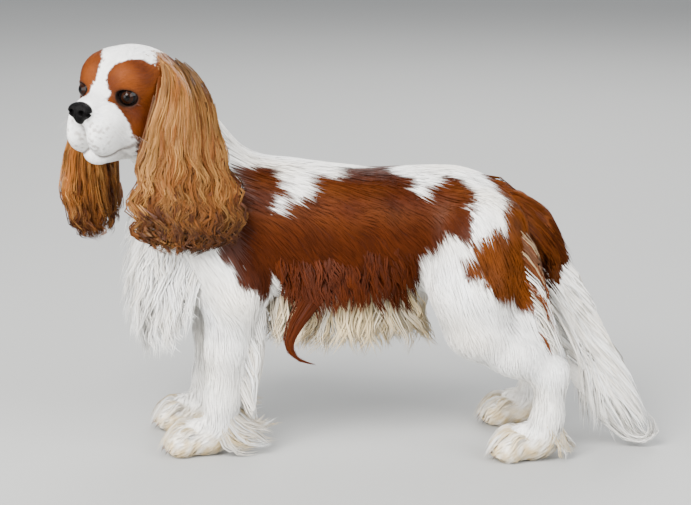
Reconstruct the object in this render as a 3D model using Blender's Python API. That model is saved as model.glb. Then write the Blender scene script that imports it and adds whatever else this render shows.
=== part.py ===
"""A cavalier spaniel as a still, life-size model: it stands four-square, faces -X and looks to its left.

Units are metres, +Z is up, the floor is z = 0, and the dog's own middle plane is y = 0 until the last step,
which moves everything so that the box's middle stands over the origin.
The body is a field of blended forms, meshed with surface nets, thinned, and parted with thin cuts.
"""
import math

import bmesh
import bpy
import numpy as np
from mathutils import Matrix, Vector

# Driving sizes
WITHERS = 0.307
GAP = 0.0003
SEED = 5
FLOOR_CLEAR = 0.0035
# Grid steps of the meshed forms, and how many triangles each is thinned to before its hair is fused on
BODY_STEP, BODY_TRIANGLES = 0.0060, 2400
HEAD_STEP, HEAD_TRIANGLES = 0.0018, 2050
TAIL_STEP, TAIL_CORE_TRIANGLES = 0.0040, 260
NOSE_STEP, NOSE_TRIANGLES = 0.0010, 300
# The tail is thinned again once it is cut clear, because its locks leave slivers along the cuts
TAIL_TRIANGLES = 1100
# Lowest and highest corners of the grids
BODY_BOX = ((-0.33, -0.13, -0.015), (0.25, 0.11, 0.45))
HEAD_BOX = ((-0.34, -0.15, 0.28), (-0.14, 0.07, 0.45))
TAIL_BOX = ((0.14, -0.06, -0.005), (0.33, 0.05, 0.30))
NOSE_REACH = 0.02

# The head's own frame: origin midway between the eyes, +x to the nose, +y to the dog's left, +z up
EYE_MIDDLE = Vector((-0.2466, -0.0750, 0.3823))
HEAD_YAW = math.radians(60)
HEAD_ROLL = math.radians(-4)
HEAD_PITCH = math.radians(0)

EYE_RADIUS = 0.0115
EYE_CENTRE = (-0.0085, 0.0240, 0.0)

# Coat colours
CHESTNUT = (0.33, 0.095, 0.022)
EAR_RED = (0.42, 0.17, 0.055)
WHITE = (0.86, 0.84, 0.80)
NOSE_BLACK = (0.012, 0.011, 0.011)
EYE_BROWN = (0.02, 0.009, 0.005)


def head_axes():
    """The head frame as a matrix: faces -X at no yaw, and yaw turns it towards the dog's left."""
    turn = Matrix.Rotation(math.pi + HEAD_YAW, 3, "Z")
    return turn @ Matrix.Rotation(HEAD_PITCH, 3, "Y") @ Matrix.Rotation(HEAD_ROLL, 3, "X")


HEAD = head_axes()


def blend(a, b, k):
    """Smooth union of two fields: where they are within k of each other, a fillet joins them."""
    h = np.clip(0.5 + 0.5 * (b - a) / k, 0.0, 1.0)
    return b + (a - b) * h - k * h * (1.0 - h)


def carve(a, b, k):
    """Field a less field b, with its rim rounded by k."""
    return -blend(-a, b, k)


def ellipsoid(p, centre, radii):
    """Near distance to an ellipsoid on the axes of p."""
    q = [(c - m) / r for c, m, r in zip(p, centre, radii)]
    near = np.sqrt(q[0] ** 2 + q[1] ** 2 + q[2] ** 2) + 1e-9
    slope = np.sqrt((q[0] / radii[0]) ** 2 + (q[1] / radii[1]) ** 2 + (q[2] / radii[2]) ** 2) + 1e-9
    return near * (near - 1.0) / slope


def bone(p, start, end, flat=1.0):
    """Round cone from start to end, each (x, y, z, radius); flat under 1 thins it sideways, in y."""
    a, b = np.array(start[:3]), np.array(end[:3])
    along = b - a
    t = sum((c - m) * d for c, m, d in zip(p, a, along)) / float(along @ along)
    t = np.clip(t, 0.0, 1.0)
    off = [c - (m + t * d) for c, m, d in zip(p, a, along)]
    return np.sqrt(off[0] ** 2 + (off[1] / flat) ** 2 + off[2] ** 2) - (start[3] + (end[3] - start[3]) * t)


def chain(p, joints, k=0.012, flat=1.0):
    """Bones through a list of joints, blended by k."""
    field = bone(p, joints[0], joints[1], flat)
    for start, end in zip(joints[1:], joints[2:]):
        field = blend(field, bone(p, start, end, flat), k)
    return field


def curve_at(x, knots, values):
    """Cubic through the knots, with slopes from the neighbours, so stations join with no corner."""
    knots, values = np.array(knots), np.array(values)
    slopes = np.gradient(values, knots)
    i = np.clip(np.searchsorted(knots, x) - 1, 0, len(knots) - 2)
    width = knots[i + 1] - knots[i]
    t = np.clip((x - knots[i]) / width, 0.0, 1.0)
    return ((2 * t ** 3 - 3 * t ** 2 + 1) * values[i] + (t ** 3 - 2 * t ** 2 + t) * width * slopes[i]
            + (3 * t ** 2 - 2 * t ** 3) * values[i + 1] + (t ** 3 - t ** 2) * width * slopes[i + 1])


# Trunk: one row for each station, as x, height of the back, height of the belly, half width
TRUNK = (
    (-0.228, 0.214, 0.196, 0.008),
    (-0.218, 0.240, 0.172, 0.034),
    (-0.195, 0.262, 0.152, 0.053),
    (-0.160, 0.288, 0.146, 0.063),
    (-0.120, 0.304, 0.147, 0.067),
    (-0.080, WITHERS, 0.148, 0.069),
    (-0.030, 0.301, 0.149, 0.069),
    (0.020, 0.296, 0.152, 0.066),
    (0.070, 0.298, 0.158, 0.061),
    (0.110, 0.297, 0.166, 0.060),
    (0.140, 0.286, 0.172, 0.058),
    (0.165, 0.270, 0.178, 0.050),
    (0.182, 0.250, 0.186, 0.036),
    (0.192, 0.228, 0.200, 0.012),
)


def trunk(p):
    """Stations along the back, each a superellipse between back and belly."""
    x, y, z = p
    rows = list(zip(*TRUNK))
    flat_x = np.clip(x, rows[0][0], rows[0][-1])
    top, low, half = (curve_at(flat_x, rows[0], r) for r in rows[1:])
    middle, tall = (top + low) / 2, (top - low) / 2
    power = 2.3
    ring = (np.abs(y / half) ** power + np.abs((z - middle) / tall) ** power) ** (1 / power)
    field = (ring - 1.0) * np.minimum(half, tall)
    return np.maximum(field, np.maximum(rows[0][0] - x, x - rows[0][-1]))


NECK = ((-0.135, 0.0, 0.245, 0.058), (-0.172, -0.004, 0.305, 0.051), (-0.203, -0.022, 0.365, 0.046))


def leg_joints(rows, side, x_shift, y):
    """Joints of a leg: rows hold x, distance out from y, z and radius; side is -1 for the dog's left."""
    return [(x + x_shift, side * (y + out), z, r) for x, out, z, r in rows]


FORELEG = (
    (-0.165, -0.010, 0.240, 0.040),
    (-0.122, -0.002, 0.172, 0.036),
    (-0.130, 0.001, 0.115, 0.0225),
    (-0.135, 0.000, 0.060, 0.0180),
    (-0.140, 0.000, 0.028, 0.0180),
)
HINDLEG = (
    (0.128, -0.022, 0.228, 0.050),
    (0.122, -0.008, 0.180, 0.047),
    (0.127, 0.000, 0.143, 0.036),
    (0.165, 0.001, 0.116, 0.027),
    (0.203, 0.000, 0.091, 0.0180),
    (0.2005, 0.000, 0.045, 0.0155),
    (0.197, 0.000, 0.026, 0.0170),
)
FORE_OUT, HIND_OUT = 0.046, 0.063
PAW_TOE = (0.0155, 0.0125, 0.0145)
LEGS = {
    "fore_left": (FORELEG, -1, 0.0, FORE_OUT),
    "fore_right": (FORELEG, 1, -0.018, FORE_OUT),
    "hind_left": (HINDLEG, -1, 0.0, HIND_OUT),
    "hind_right": (HINDLEG, 1, -0.003, HIND_OUT),
}


def paw(p, ankle_x, y):
    """A paw whose four toes fan out ahead of a rounded pad, heel under the ankle."""
    field = ellipsoid(p, (ankle_x - 0.016, y, 0.018), (0.030, 0.0215, 0.0205))
    for place in (-1.5, -0.5, 0.5, 1.5):
        reach = 0.0425 - 0.0035 * abs(place) ** 1.5
        toe = ellipsoid(p, (ankle_x - reach, y + 0.0102 * place, 0.0130), PAW_TOE)
        field = blend(field, toe, 0.0035)
    return field


def leg(p, rows, side, x_shift, y):
    """A leg's chain of bones, blended into its paw."""
    field = chain(p, leg_joints(rows, side, x_shift, y))
    ankle_x = rows[-1][0] + x_shift
    return blend(field, paw(p, ankle_x, side * y), 0.008)


def in_head(p):
    """Coordinates of p in the head's frame."""
    off = [c - m for c, m in zip(p, EYE_MIDDLE)]
    return [sum(HEAD[row][column] * off[row] for row in range(3)) for column in range(3)]


def mirrored(q):
    """A place with its left and right sides folded together."""
    return [q[0], np.abs(q[1]), q[2]]


# Head forms, as centre and radii in the head's frame; those off the middle are on both sides
SKULL = ((-0.046, 0.0, 0.006), (0.054, 0.046, 0.038))
BROW = ((-0.022, 0.0165, 0.014), (0.028, 0.0205, 0.023))
CHEEK = ((-0.030, 0.022, -0.030), (0.034, 0.023, 0.034))
BRIDGE = ((-0.004, 0.0, -0.010, 0.018), (0.031, 0.0, -0.015, 0.0130))
CUSHION = ((0.004, 0.014, -0.023), (0.024, 0.0165, 0.019))
LIP = ((0.012, 0.0120, -0.0360), (0.0275, 0.0150, 0.0240))
JAW = ((0.009, 0.0, -0.0590, 0.0125), (-0.048, 0.0, -0.0480, 0.0240), 1.3)
LID_THICK, LID_OPENING, LID_AIM = 0.0016, (0.0120, 0.0118, 0.0094), math.radians(22)
GROOVE = ((0.0430, 0.0, -0.0200, 0.0012), (0.0370, 0.0, -0.0480, 0.0022))


def lid_opening(m):
    """The gap between an eye's lids: an almond that looks forward and out, its inner corner lower."""
    x = (m[0] - EYE_CENTRE[0]) * math.cos(LID_AIM) + (m[1] - EYE_CENTRE[1]) * math.sin(LID_AIM)
    y = (m[1] - EYE_CENTRE[1]) * math.cos(LID_AIM) - (m[0] - EYE_CENTRE[0]) * math.sin(LID_AIM)
    return ellipsoid((x, y, m[2] - EYE_CENTRE[2] + 0.12 * y), (EYE_RADIUS, 0.0, 0.0), LID_OPENING)


def head(p):
    """Skull, brows, cheeks, muzzle, hanging lips and jaw, with the lids raised round each eye."""
    q = in_head(p)
    m = mirrored(q)
    field = ellipsoid(q, *SKULL)
    field = blend(field, ellipsoid(m, *BROW), 0.012)
    field = blend(field, ellipsoid(m, *CHEEK), 0.014)
    field = blend(field, bone(q, *BRIDGE), 0.010)
    field = blend(field, ellipsoid(m, *CUSHION), 0.010)
    field = blend(field, ellipsoid(m, EYE_CENTRE, (EYE_RADIUS + LID_THICK,) * 3), 0.004)
    field = carve(field, lid_opening(m), 0.0012)
    field = blend(field, ellipsoid(m, *LIP), 0.007)
    field = carve(field, bone(q, *GROOVE), 0.0015)
    return blend(field, bone(q, *JAW), 0.0025)


# Cores under the long hair, half way to its tips: joints of x, y, z and radius, then how thin sideways
RUFF = ((-0.205, 0.0, 0.205, 0.030), (-0.194, 0.0, 0.148, 0.018), 1.3)
FRINGE = ((-0.045, 0.0, 0.156, 0.026), (0.062, 0.0, 0.160, 0.026), 1.4)
BREECHES = ((-0.030, -0.010, 0.200, 0.030), (-0.020, -0.004, 0.155, 0.018), 0.70)


def hair_cores(p):
    """Where the ruff, the belly fringe and the breeches stand thick."""
    field = np.minimum(bone(p, *RUFF), bone(p, *FRINGE))
    start, end, flat = BREECHES
    for name in ("hind_left", "hind_right"):
        rows, side, x_shift, y = LEGS[name]
        ankle = rows[-1][0] + x_shift
        ends = [(ankle + j[0], side * (y + j[1]), j[2], j[3]) for j in (start, end)]
        field = np.minimum(field, flat_bone(p, *ends, flat))
    return field


def flat_bone(p, start, end, flat):
    """A bone thinned sideways about its own middle plane."""
    middle = (start[1] + end[1]) / 2
    low, high = [(j[0], j[1] - middle, j[2], j[3]) for j in (start, end)]
    return bone((p[0], p[1] - middle, p[2]), low, high, flat)


def body(p):
    """The whole dog but its ears, tail, eyes and nose."""
    field = blend(trunk(p), chain(p, NECK, flat=0.92), 0.030)
    for rows, side, x_shift, y in LEGS.values():
        field = blend(field, leg(p, rows, side, x_shift, y), 0.014)
    field = blend(field, hair_cores(p), 0.012)
    return blend(field, head(p), 0.016)


def in_one_piece(group):
    """Whether corners of a cell, numbered 0 to 7 by their bits, hang together along its edges."""
    if not group:
        return True
    seen, stack = {group[0]}, [group[0]]
    while stack:
        top = stack.pop()
        for near in (top ^ 1, top ^ 2, top ^ 4):
            if near in group and near not in seen:
                seen.add(near)
                stack.append(near)
    return len(seen) == len(group)


# Patterns of inside corners through which a surface would pass twice
DOUBLE = np.array([not (in_one_piece([c for c in range(8) if pattern >> c & 1])
                        and in_one_piece([c for c in range(8) if not pattern >> c & 1]))
                   for pattern in range(256)])


def filled(value, corners, under):
    """Fills the nearest corner of every cell through which the surface would pass twice, until none is left,
    so that no edge of the net has four faces."""
    corners = np.array(corners)
    for _ in range(40):
        inside = value < 0
        cells = tuple(n - 1 for n in value.shape)
        pattern = np.zeros(cells, int)
        for bit, (i, j, k) in enumerate(corners):
            pattern |= inside[i:i + cells[0], j:j + cells[1], k:k + cells[2]].astype(int) << bit
        bad = np.argwhere(DOUBLE[pattern])
        if not len(bad):
            break
        around = bad[:, None] + corners[None]
        near = value[around[..., 0], around[..., 1], around[..., 2]]
        pick = np.argmin(np.where(near < 0, np.inf, near), 1)
        chosen = around[np.arange(len(bad)), pick]
        value[tuple(chosen.T)] = under
    return value


def net(field, low, high, step):
    """Surface nets: one point in each cell that the surface crosses, at the mean of its edge crossings,
    and one quad round each grid edge that it crosses."""
    axes = [np.arange(a, b + step, step) for a, b in zip(low, high)]
    grid = (axes[0][:, None, None], axes[1][None, :, None], axes[2][None, None, :])
    value = np.broadcast_to(field(grid), tuple(len(a) for a in axes))
    cells = tuple(n - 1 for n in value.shape)
    total, count = np.zeros(cells + (3,)), np.zeros(cells)
    corners = [(i, j, k) for i in (0, 1) for j in (0, 1) for k in (0, 1)]
    value = filled(value.copy(), corners, -0.05 * step)
    inside = value < 0

    def corner(array, c):
        return array[c[0]:c[0] + cells[0], c[1]:c[1] + cells[1], c[2]:c[2] + cells[2]]

    for a in corners:
        for axis in range(3):
            if a[axis]:
                continue
            b = tuple(v + (n == axis) for n, v in enumerate(a))
            crossed = corner(inside, a) != corner(inside, b)
            va, vb = corner(value, a)[crossed], corner(value, b)[crossed]
            place = np.repeat(np.array([a], float), len(va), 0)
            place[:, axis] = va / (va - vb)
            total[crossed] += place
            count[crossed] += 1
    active = count > 0
    index = np.full(cells, -1)
    index[active] = np.arange(active.sum())
    start = np.argwhere(active)
    points = (start + total[active] / count[active][:, None]) * step + np.array([a[0] for a in axes])
    quads = []
    for axis in range(3):
        u, v = (axis + 1) % 3, (axis + 2) % 3
        lower = [slice(None)] * 3
        upper = [slice(None)] * 3
        lower[axis], upper[axis] = slice(0, -1), slice(1, None)
        crossed = np.argwhere(inside[tuple(lower)] != inside[tuple(upper)])
        crossed = crossed[(crossed[:, u] > 0) & (crossed[:, v] > 0)
                          & (crossed[:, u] < cells[u]) & (crossed[:, v] < cells[v])]
        ring = []
        for du, dv in ((-1, -1), (0, -1), (0, 0), (-1, 0)):
            cell = crossed.copy()
            cell[:, u] += du
            cell[:, v] += dv
            ring.append(index[cell[:, 0], cell[:, 1], cell[:, 2]])
        ring = np.stack(ring, 1)
        outward = inside[crossed[:, 0], crossed[:, 1], crossed[:, 2]]
        quads.append(np.where(outward[:, None], ring, ring[:, ::-1]))
    return points, np.concatenate(quads)


def add_object(name, points, faces):
    """A new object from points and faces."""
    mesh = bpy.data.meshes.new(name)
    mesh.from_pydata([tuple(p) for p in points], [], [tuple(int(i) for i in f) for f in faces])
    mesh.update()
    made = bpy.data.objects.new(name, mesh)
    bpy.context.scene.collection.objects.link(made)
    return made


def clear_scene():
    """Removes whatever the scene starts with."""
    for old in list(bpy.data.objects):
        bpy.data.objects.remove(old, do_unlink=True)


def evaluated_mesh(made):
    """Applies an object's modifiers to its mesh."""
    graph = bpy.context.evaluated_depsgraph_get()
    mesh = bpy.data.meshes.new_from_object(made.evaluated_get(graph))
    made.modifiers.clear()
    made.data = mesh
    mesh.name = made.name


def thin(made, triangles):
    """Collapses edges down to about so many triangles."""
    made.data.calc_loop_triangles()
    modifier = made.modifiers.new("thin", "DECIMATE")
    modifier.ratio = min(1.0, triangles / len(made.data.loop_triangles))
    modifier.use_collapse_triangulate = True
    evaluated_mesh(made)


def boolean(made, others, operation):
    """Joins others to made, or cuts them from it, and removes them."""
    group = bpy.data.collections.new("operands")
    for other in others:
        group.objects.link(other)
    modifier = made.modifiers.new(operation.lower(), "BOOLEAN")
    modifier.operation = operation
    modifier.operand_type = "COLLECTION"
    modifier.collection = group
    modifier.solver = "MANIFOLD"
    evaluated_mesh(made)
    for other in list(group.objects):
        bpy.data.objects.remove(other, do_unlink=True)
    bpy.data.collections.remove(group)


def half(made, point, normal, name):
    """The part of a closed mesh on the far side of a plane, capped flat, half a gap clear of the plane."""
    normal = Vector(normal).normalized()
    work = bmesh.new()
    work.from_mesh(made.data)
    bmesh.ops.bisect_plane(work, geom=work.verts[:] + work.edges[:] + work.faces[:], dist=1e-7,
                           plane_co=Vector(point) + normal * GAP / 2, plane_no=normal, clear_inner=True)
    rim = [edge for edge in work.edges if edge.is_boundary]
    bmesh.ops.triangle_fill(work, edges=rim, use_beauty=True)
    bmesh.ops.recalc_face_normals(work, faces=work.faces[:])
    mesh = bpy.data.meshes.new(name)
    work.to_mesh(mesh)
    work.free()
    part = bpy.data.objects.new(name, mesh)
    bpy.context.scene.collection.objects.link(part)
    return part


def split(made, point, normal, far_name, near_name):
    """Cuts a piece in two by a thin plane cut: the far side along the normal first."""
    far = half(made, point, normal, far_name)
    near = half(made, point, -Vector(normal), near_name)
    bpy.data.objects.remove(made, do_unlink=True)
    return far, near


def shells(mesh):
    """Face lists of a mesh's separate closed surfaces."""
    work = bmesh.new()
    work.from_mesh(mesh)
    work.faces.ensure_lookup_table()
    seen, found = set(), []
    for face in work.faces:
        if face.index in seen:
            continue
        stack, group = [face], []
        seen.add(face.index)
        while stack:
            top = stack.pop()
            group.append(top.index)
            for edge in top.edges:
                for near in edge.link_faces:
                    if near.index not in seen:
                        seen.add(near.index)
                        stack.append(near)
        found.append(group)
    work.free()
    return found


def keep_faces(made, keep, name):
    """A new object of some of a mesh's faces."""
    work = bmesh.new()
    work.from_mesh(made.data)
    work.faces.ensure_lookup_table()
    wanted = set(keep)
    bmesh.ops.delete(work, geom=[f for f in work.faces if f.index not in wanted], context="FACES")
    mesh = bpy.data.meshes.new(name)
    work.to_mesh(mesh)
    work.free()
    part = bpy.data.objects.new(name, mesh)
    bpy.context.scene.collection.objects.link(part)
    return part


def middle_y(made, faces):
    """Mean y of some of a mesh's faces."""
    return sum(made.data.polygons[f].center.y for f in faces) / len(faces)


def left_and_right(made, left_name, right_name):
    """Two loose pieces told apart by side: the dog's left is -y. Scraps are dropped."""
    groups = sorted(shells(made.data), key=len)[-2:]
    groups.sort(key=lambda faces: middle_y(made, faces))
    left = keep_faces(made, groups[0], left_name)
    right = keep_faces(made, groups[1], right_name)
    bpy.data.objects.remove(made, do_unlink=True)
    return left, right


def largest_only(made):
    """Keeps a node's largest closed surface, which drops loose scraps and sealed hollows."""
    groups = sorted(shells(made.data), key=len)
    if len(groups) > 1:
        kept = keep_faces(made, groups[-1], made.name + "_kept")
        made.data = kept.data
        bpy.data.objects.remove(kept, do_unlink=True)


def swollen(made, by=GAP * 1.5):
    """A copy of a piece grown along its normals, for cutting its neighbours clear of it."""
    mesh = made.data.copy()
    grown = bpy.data.objects.new(made.name + "_swollen", mesh)
    bpy.context.scene.collection.objects.link(grown)
    normals = [v.normal.copy() for v in mesh.vertices]
    for vertex, normal in zip(mesh.vertices, normals):
        vertex.co += normal * by
    return grown


def loft(name, centres, across, widths, depths, sides=4, pointed=True):
    """A closed solid of flat sections carried along a path: across is each one's width direction, and a
    pointed one ends in a single tip."""
    centres, across = np.array(centres, float), np.array(across, float)
    along = np.gradient(centres, axis=0)
    along /= np.linalg.norm(along, axis=1)[:, None]
    across = np.broadcast_to(across, centres.shape)
    across = across - along * np.sum(across * along, 1)[:, None]
    across = across / np.linalg.norm(across, axis=1)[:, None]
    up = np.cross(along, across)
    angle = np.arange(sides) * 2 * math.pi / sides + math.pi / 2
    ring = (centres[:, None] + np.cos(angle)[None, :, None] * (across * np.array(widths)[:, None])[:, None]
            + np.sin(angle)[None, :, None] * (up * np.array(depths)[:, None])[:, None])
    rings = len(centres) - (1 if pointed else 0)
    points = list(ring[:rings].reshape(-1, 3))
    faces = []
    for row in range(rings - 1):
        for i in range(sides):
            a, b = row * sides + i, row * sides + (i + 1) % sides
            faces += [(a, b, b + sides), (a, b + sides, a + sides)]
    faces += [(0, i + 1, i) for i in range(1, sides - 1)]
    last = (rings - 1) * sides
    if pointed:
        points.append(centres[-1])
        faces += [(last + i, last + (i + 1) % sides, len(points) - 1) for i in range(sides)]
    else:
        faces += [(last, last + i, last + i + 1) for i in range(1, sides - 1)]
    return add_object(name, points, faces)


def along_line(line, u):
    """The point a share u of the way along a line of points, by number and not by length."""
    line = np.array(line, float)
    place = np.clip(u, 0.0, 1.0) * (len(line) - 1)
    return np.array([np.interp(place, range(len(line)), line[:, axis]) for axis in range(3)])


def lock(points, across, width, depth, wave, phase):
    """A flat lock of hair: widest a third of the way along, waved from side to side, drawn out to a tip."""
    t = np.linspace(0.0, 1.0, len(points))
    across = across / np.linalg.norm(across)
    points = points + across * (wave * t * np.sin(phase + 7.0 * t))[:, None]
    points[:, 2] = np.maximum(points[:, 2], FLOOR_CLEAR)
    swell = np.interp(t, (0.0, 0.35, 0.75, 1.0), (0.8, 1.0, 0.65, 0.0))
    depth = depth * np.interp(t, (0.0, 0.3, 1.0), (1.2, 1.2, 0.4))
    return loft("lock", points, across, 1.1 * width * swell, depth, sides=3)


def curtain(random, roots, tips, count, width, depth, bow, wave=0.003, ragged=0.05):
    """A row of locks from a line of roots to a line of tips. Each leaves its chord by bow at the middle,
    every other one lies a little over its neighbours, and their lengths are ragged."""
    made = []
    for i in range(count):
        u = (i + 0.5) / count
        root, tip = along_line(roots, u), along_line(tips, u + random.uniform(-0.3, 0.3) / count)
        row = along_line(tips, u + 0.1) - along_line(tips, u - 0.1)
        over = np.cross(row, tip - root)
        over = over / np.linalg.norm(over) * depth * (0.9 if i % 2 else -0.9)
        tip = tip + (tip - root) * random.uniform(-ragged, ragged / 2)
        t = np.linspace(0.0, 1.0, 5)[:, None]
        points = (1 - t) * root + t * tip + 4 * t * (1 - t) * np.array(bow) + over * np.minimum(1.0, 3 * t)
        made.append(lock(points, row, width * random.uniform(0.85, 1.2), depth, wave, random.uniform(0, 6.3)))
    return made


def both_sides(line):
    """A line that runs from the dog's left round the middle to its right, given up to the middle."""
    return list(line) + [(x, -y, z) for x, y, z in reversed(line[:-1])]


def beside(line, side, x, y):
    """A leg's line, given from its ankle with z from the floor, set at the leg."""
    return [(x + point[0], side * (y + point[1]), point[2]) for point in line]


# Ears: a row for each station: x, y, z of the middle, turn of the width in degrees, half width, half depth
EAR_LEFT = (
    (-0.1885, -0.0490, 0.4080, 55, 0.012, 0.005),
    (-0.1825, -0.0565, 0.3940, 55, 0.026, 0.0085),
    (-0.1765, -0.0700, 0.3700, 42, 0.033, 0.0095),
    (-0.1735, -0.0790, 0.3430, 28, 0.039, 0.0105),
    (-0.1700, -0.0840, 0.3180, 18, 0.046, 0.0120),
    (-0.1665, -0.0870, 0.2940, 12, 0.053, 0.0130),
    (-0.1650, -0.0880, 0.2690, 8, 0.059, 0.0130),
    (-0.1640, -0.0880, 0.2460, 6, 0.055, 0.0120),
    (-0.1655, -0.0870, 0.2300, 5, 0.043, 0.0100),
    (-0.1700, -0.0860, 0.2190, 5, 0.022, 0.0060),
)
EAR_RIGHT = (
    (-0.2555, -0.0095, 0.4080, 58, 0.012, 0.005),
    (-0.2565, -0.0030, 0.3940, 58, 0.026, 0.0085),
    (-0.2580, 0.0050, 0.3690, 59, 0.033, 0.0095),
    (-0.2630, 0.0070, 0.3420, 60, 0.039, 0.0105),
    (-0.2690, 0.0060, 0.3180, 62, 0.046, 0.0120),
    (-0.2710, 0.0040, 0.2940, 63, 0.053, 0.0130),
    (-0.2700, 0.0030, 0.2690, 65, 0.058, 0.0130),
    (-0.2670, 0.0030, 0.2460, 65, 0.052, 0.0120),
    (-0.2640, 0.0030, 0.2290, 65, 0.040, 0.0100),
    (-0.2610, 0.0030, 0.2170, 65, 0.020, 0.0060),
)
TAIL = (
    (0.168, 0.000, 0.256, 0.0180),
    (0.192, 0.000, 0.236, 0.0190),
    (0.206, 0.000, 0.206, 0.0180),
    (0.214, -0.003, 0.170, 0.0150),
    (0.223, -0.006, 0.130, 0.0110),
    (0.234, -0.010, 0.095, 0.0070),
)
PLUME = ((0.220, -0.004, 0.165, 0.014), (0.240, -0.008, 0.115, 0.020), (0.252, -0.011, 0.085, 0.014))


def tail(p):
    """The tail's own length, with the plume's core."""
    return blend(chain(p, TAIL), chain(p, PLUME, flat=0.45), 0.012)


def ear_rows(rows):
    """Middles, width directions, half widths and half depths of an ear's stations."""
    centres = np.array([row[:3] for row in rows])
    turn = np.radians([row[3] for row in rows])
    across = np.stack([-np.cos(turn), -np.sin(turn), 0 * turn], 1)
    return centres, across, np.array([row[4] for row in rows]), np.array([row[5] for row in rows])


def ear(name, rows, outward):
    """The ear's flap, down to half of the ear with its hair, hollowed on the face that lies to the head."""
    centres, across, widths, depths = ear_rows(rows)
    shrink = np.array([1.0, 0.96, 0.93, 0.88, 0.80, 0.40])
    flap = loft(name, centres[:6], across[:6], widths[:6] * shrink, depths[:6] * 0.75 * shrink, 12, False)
    inward = np.cross(across[1], (0.0, 0.0, 1.0)) * -outward
    middle = centres[1:4] + inward * depths[1:4, None] * 1.35
    cup = loft("cup", middle, across[1:4], widths[1:4] * (0.35, 0.6, 0.3), depths[1:4] * 1.1, 8, False)
    boolean(flap, [cup], "DIFFERENCE")
    return flap


# Layers of an ear's locks: stations where they start and end, how many, and the face: out 1, in -1
EAR_LAYERS = ((0.8, 5.2, 4, 1), (2.6, 7.2, 4, 1), (4.2, 9.2, 5, 0.2), (3.0, 8.4, 3, -1))


def ear_locks(random, rows, outward):
    """Locks that start at four heights on both faces of the flap and follow the ear's shape to its edge."""
    centres, across, widths, depths = ear_rows(rows)
    station = np.arange(len(rows))
    made = []
    for start, end, count, face in EAR_LAYERS:
        for i in range(count):
            s = (i + 0.5) / count * 2 - 1 + random.uniform(-0.06, 0.06)
            last = end + 0.9 * (1 - s * s) - 0.9 + random.uniform(-0.35, 0.15)
            at = np.linspace(start, last, 5)
            middle = np.stack([np.interp(at, station, centres[:, axis]) for axis in range(3)], 1)
            side = np.stack([np.interp(at, station, across[:, axis]) for axis in range(3)], 1)
            wide, deep = np.interp(at, station, widths), np.interp(at, station, depths)
            out = np.cross(side, (0.0, 0.0, 1.0)) * outward
            spread = s * wide[:, None] * 0.90
            rise = (deep * np.linspace(0.25, 0.75, 5))[:, None] * face
            phase = random.uniform(0, 6.3)
            curl = (0.004 * np.linspace(0, 1, 5) * np.sin(phase + 1.9 * at))[:, None]
            points = middle + side * (spread + curl) + out * (rise + (0.0016 if i % 2 else -0.0016) * face)
            swell = np.interp(np.linspace(0, 1, 5), (0.0, 0.4, 0.8, 1.0), (0.7, 1.0, 0.75, 0.0))
            width = 1.35 * np.max(wide) / count * random.uniform(0.9, 1.15)
            made.append(loft("lock", points, side, width * swell, 0.0028 * np.maximum(swell, 0.3)))
    return made


def eye(name, side):
    """Eyeball: a fine sphere whose middle is placed in the head's frame."""
    centre = EYE_MIDDLE + HEAD @ Vector((EYE_CENTRE[0], side * EYE_CENTRE[1], EYE_CENTRE[2]))
    work = bmesh.new()
    bmesh.ops.create_icosphere(work, subdivisions=2, radius=EYE_RADIUS)
    bmesh.ops.translate(work, verts=work.verts[:], vec=centre)
    mesh = bpy.data.meshes.new(name)
    work.to_mesh(mesh)
    work.free()
    made = bpy.data.objects.new(name, mesh)
    bpy.context.scene.collection.objects.link(made)
    return made


NOSE_MIDDLE = (0.0385, 0.0, -0.0116)


def nose_field(p):
    """Nose leather: a broad pad with a nostril scooped from each side of its front and a keel to the lip."""
    q = in_head(p)
    m = mirrored(q)
    field = blend(ellipsoid(q, NOSE_MIDDLE, (0.0085, 0.0120, 0.0090)),
                  ellipsoid(q, (0.0385, 0, -0.0185), (0.0070, 0.0055, 0.0070)), 0.005)
    field = blend(field, ellipsoid(m, (0.0405, 0.0075, -0.0120), (0.0060, 0.0055, 0.0062)), 0.003)
    nostril = ellipsoid(m, (0.0470, 0.0060, -0.0128), (0.0055, 0.0030, 0.0026))
    slit = ellipsoid(m, (0.0415, 0.0125, -0.0135), (0.0070, 0.0030, 0.0013))
    return carve(carve(field, nostril, 0.0012), slit, 0.0010)


def meshed(name, field, low, high, step, triangles):
    """An object of a field's surface within a box, thinned to about so many triangles."""
    points, faces = net(field, low, high, step)
    made = add_object(name, points, faces)
    thin(made, triangles)
    return made


# The soles' flats, at z = 0
FLOOR_CUT = ((0.0, 0.0, -GAP / 2), (0.0, 0.0, 1.0))
# Where the whole is parted: a point and the direction across each cut
HEAD_CUT = ((-0.2000, -0.0200, 0.3450), (-0.70, -0.40, 0.59))
NECK_CUT = ((-0.1500, 0.0, 0.2900), (-0.50, -0.03, 0.86))
CHEST_CUT = ((-0.0450, 0.0, 0.0), (1.0, 0.0, 0.0))
RUMP_CUT = ((0.0600, 0.0, 0.0), (1.0, 0.0, 0.0))
ELBOW_CUT = ((0.0, 0.0, 0.1400), (0.0, 0.0, 1.0))
GROIN_CUT = ((0.0, 0.0150, 0.1300), (0.0, 0.912, 0.409))
KNEE_CUT = ((0.1450, 0.0, 0.1380), (0.35, 0.0, -0.94))
PAW_CUT = ((0.0, 0.0, 0.0330), (0.0, 0.0, 1.0))

# Pieces that are cut clear of the neighbours they meet, in this order
CLEARANCES = (
    ("head", ("nose", "eye_left", "eye_right")),
    ("neck", ("chest",)),
    ("thigh_left", ("rump", "shank_left")),
    ("thigh_right", ("rump", "shank_right")),
    ("ear_left", ("head", "neck", "chest")),
    ("ear_right", ("head", "neck", "chest")),
    ("tail", ("rump", "thigh_left", "thigh_right", "shank_left")),
)

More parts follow.
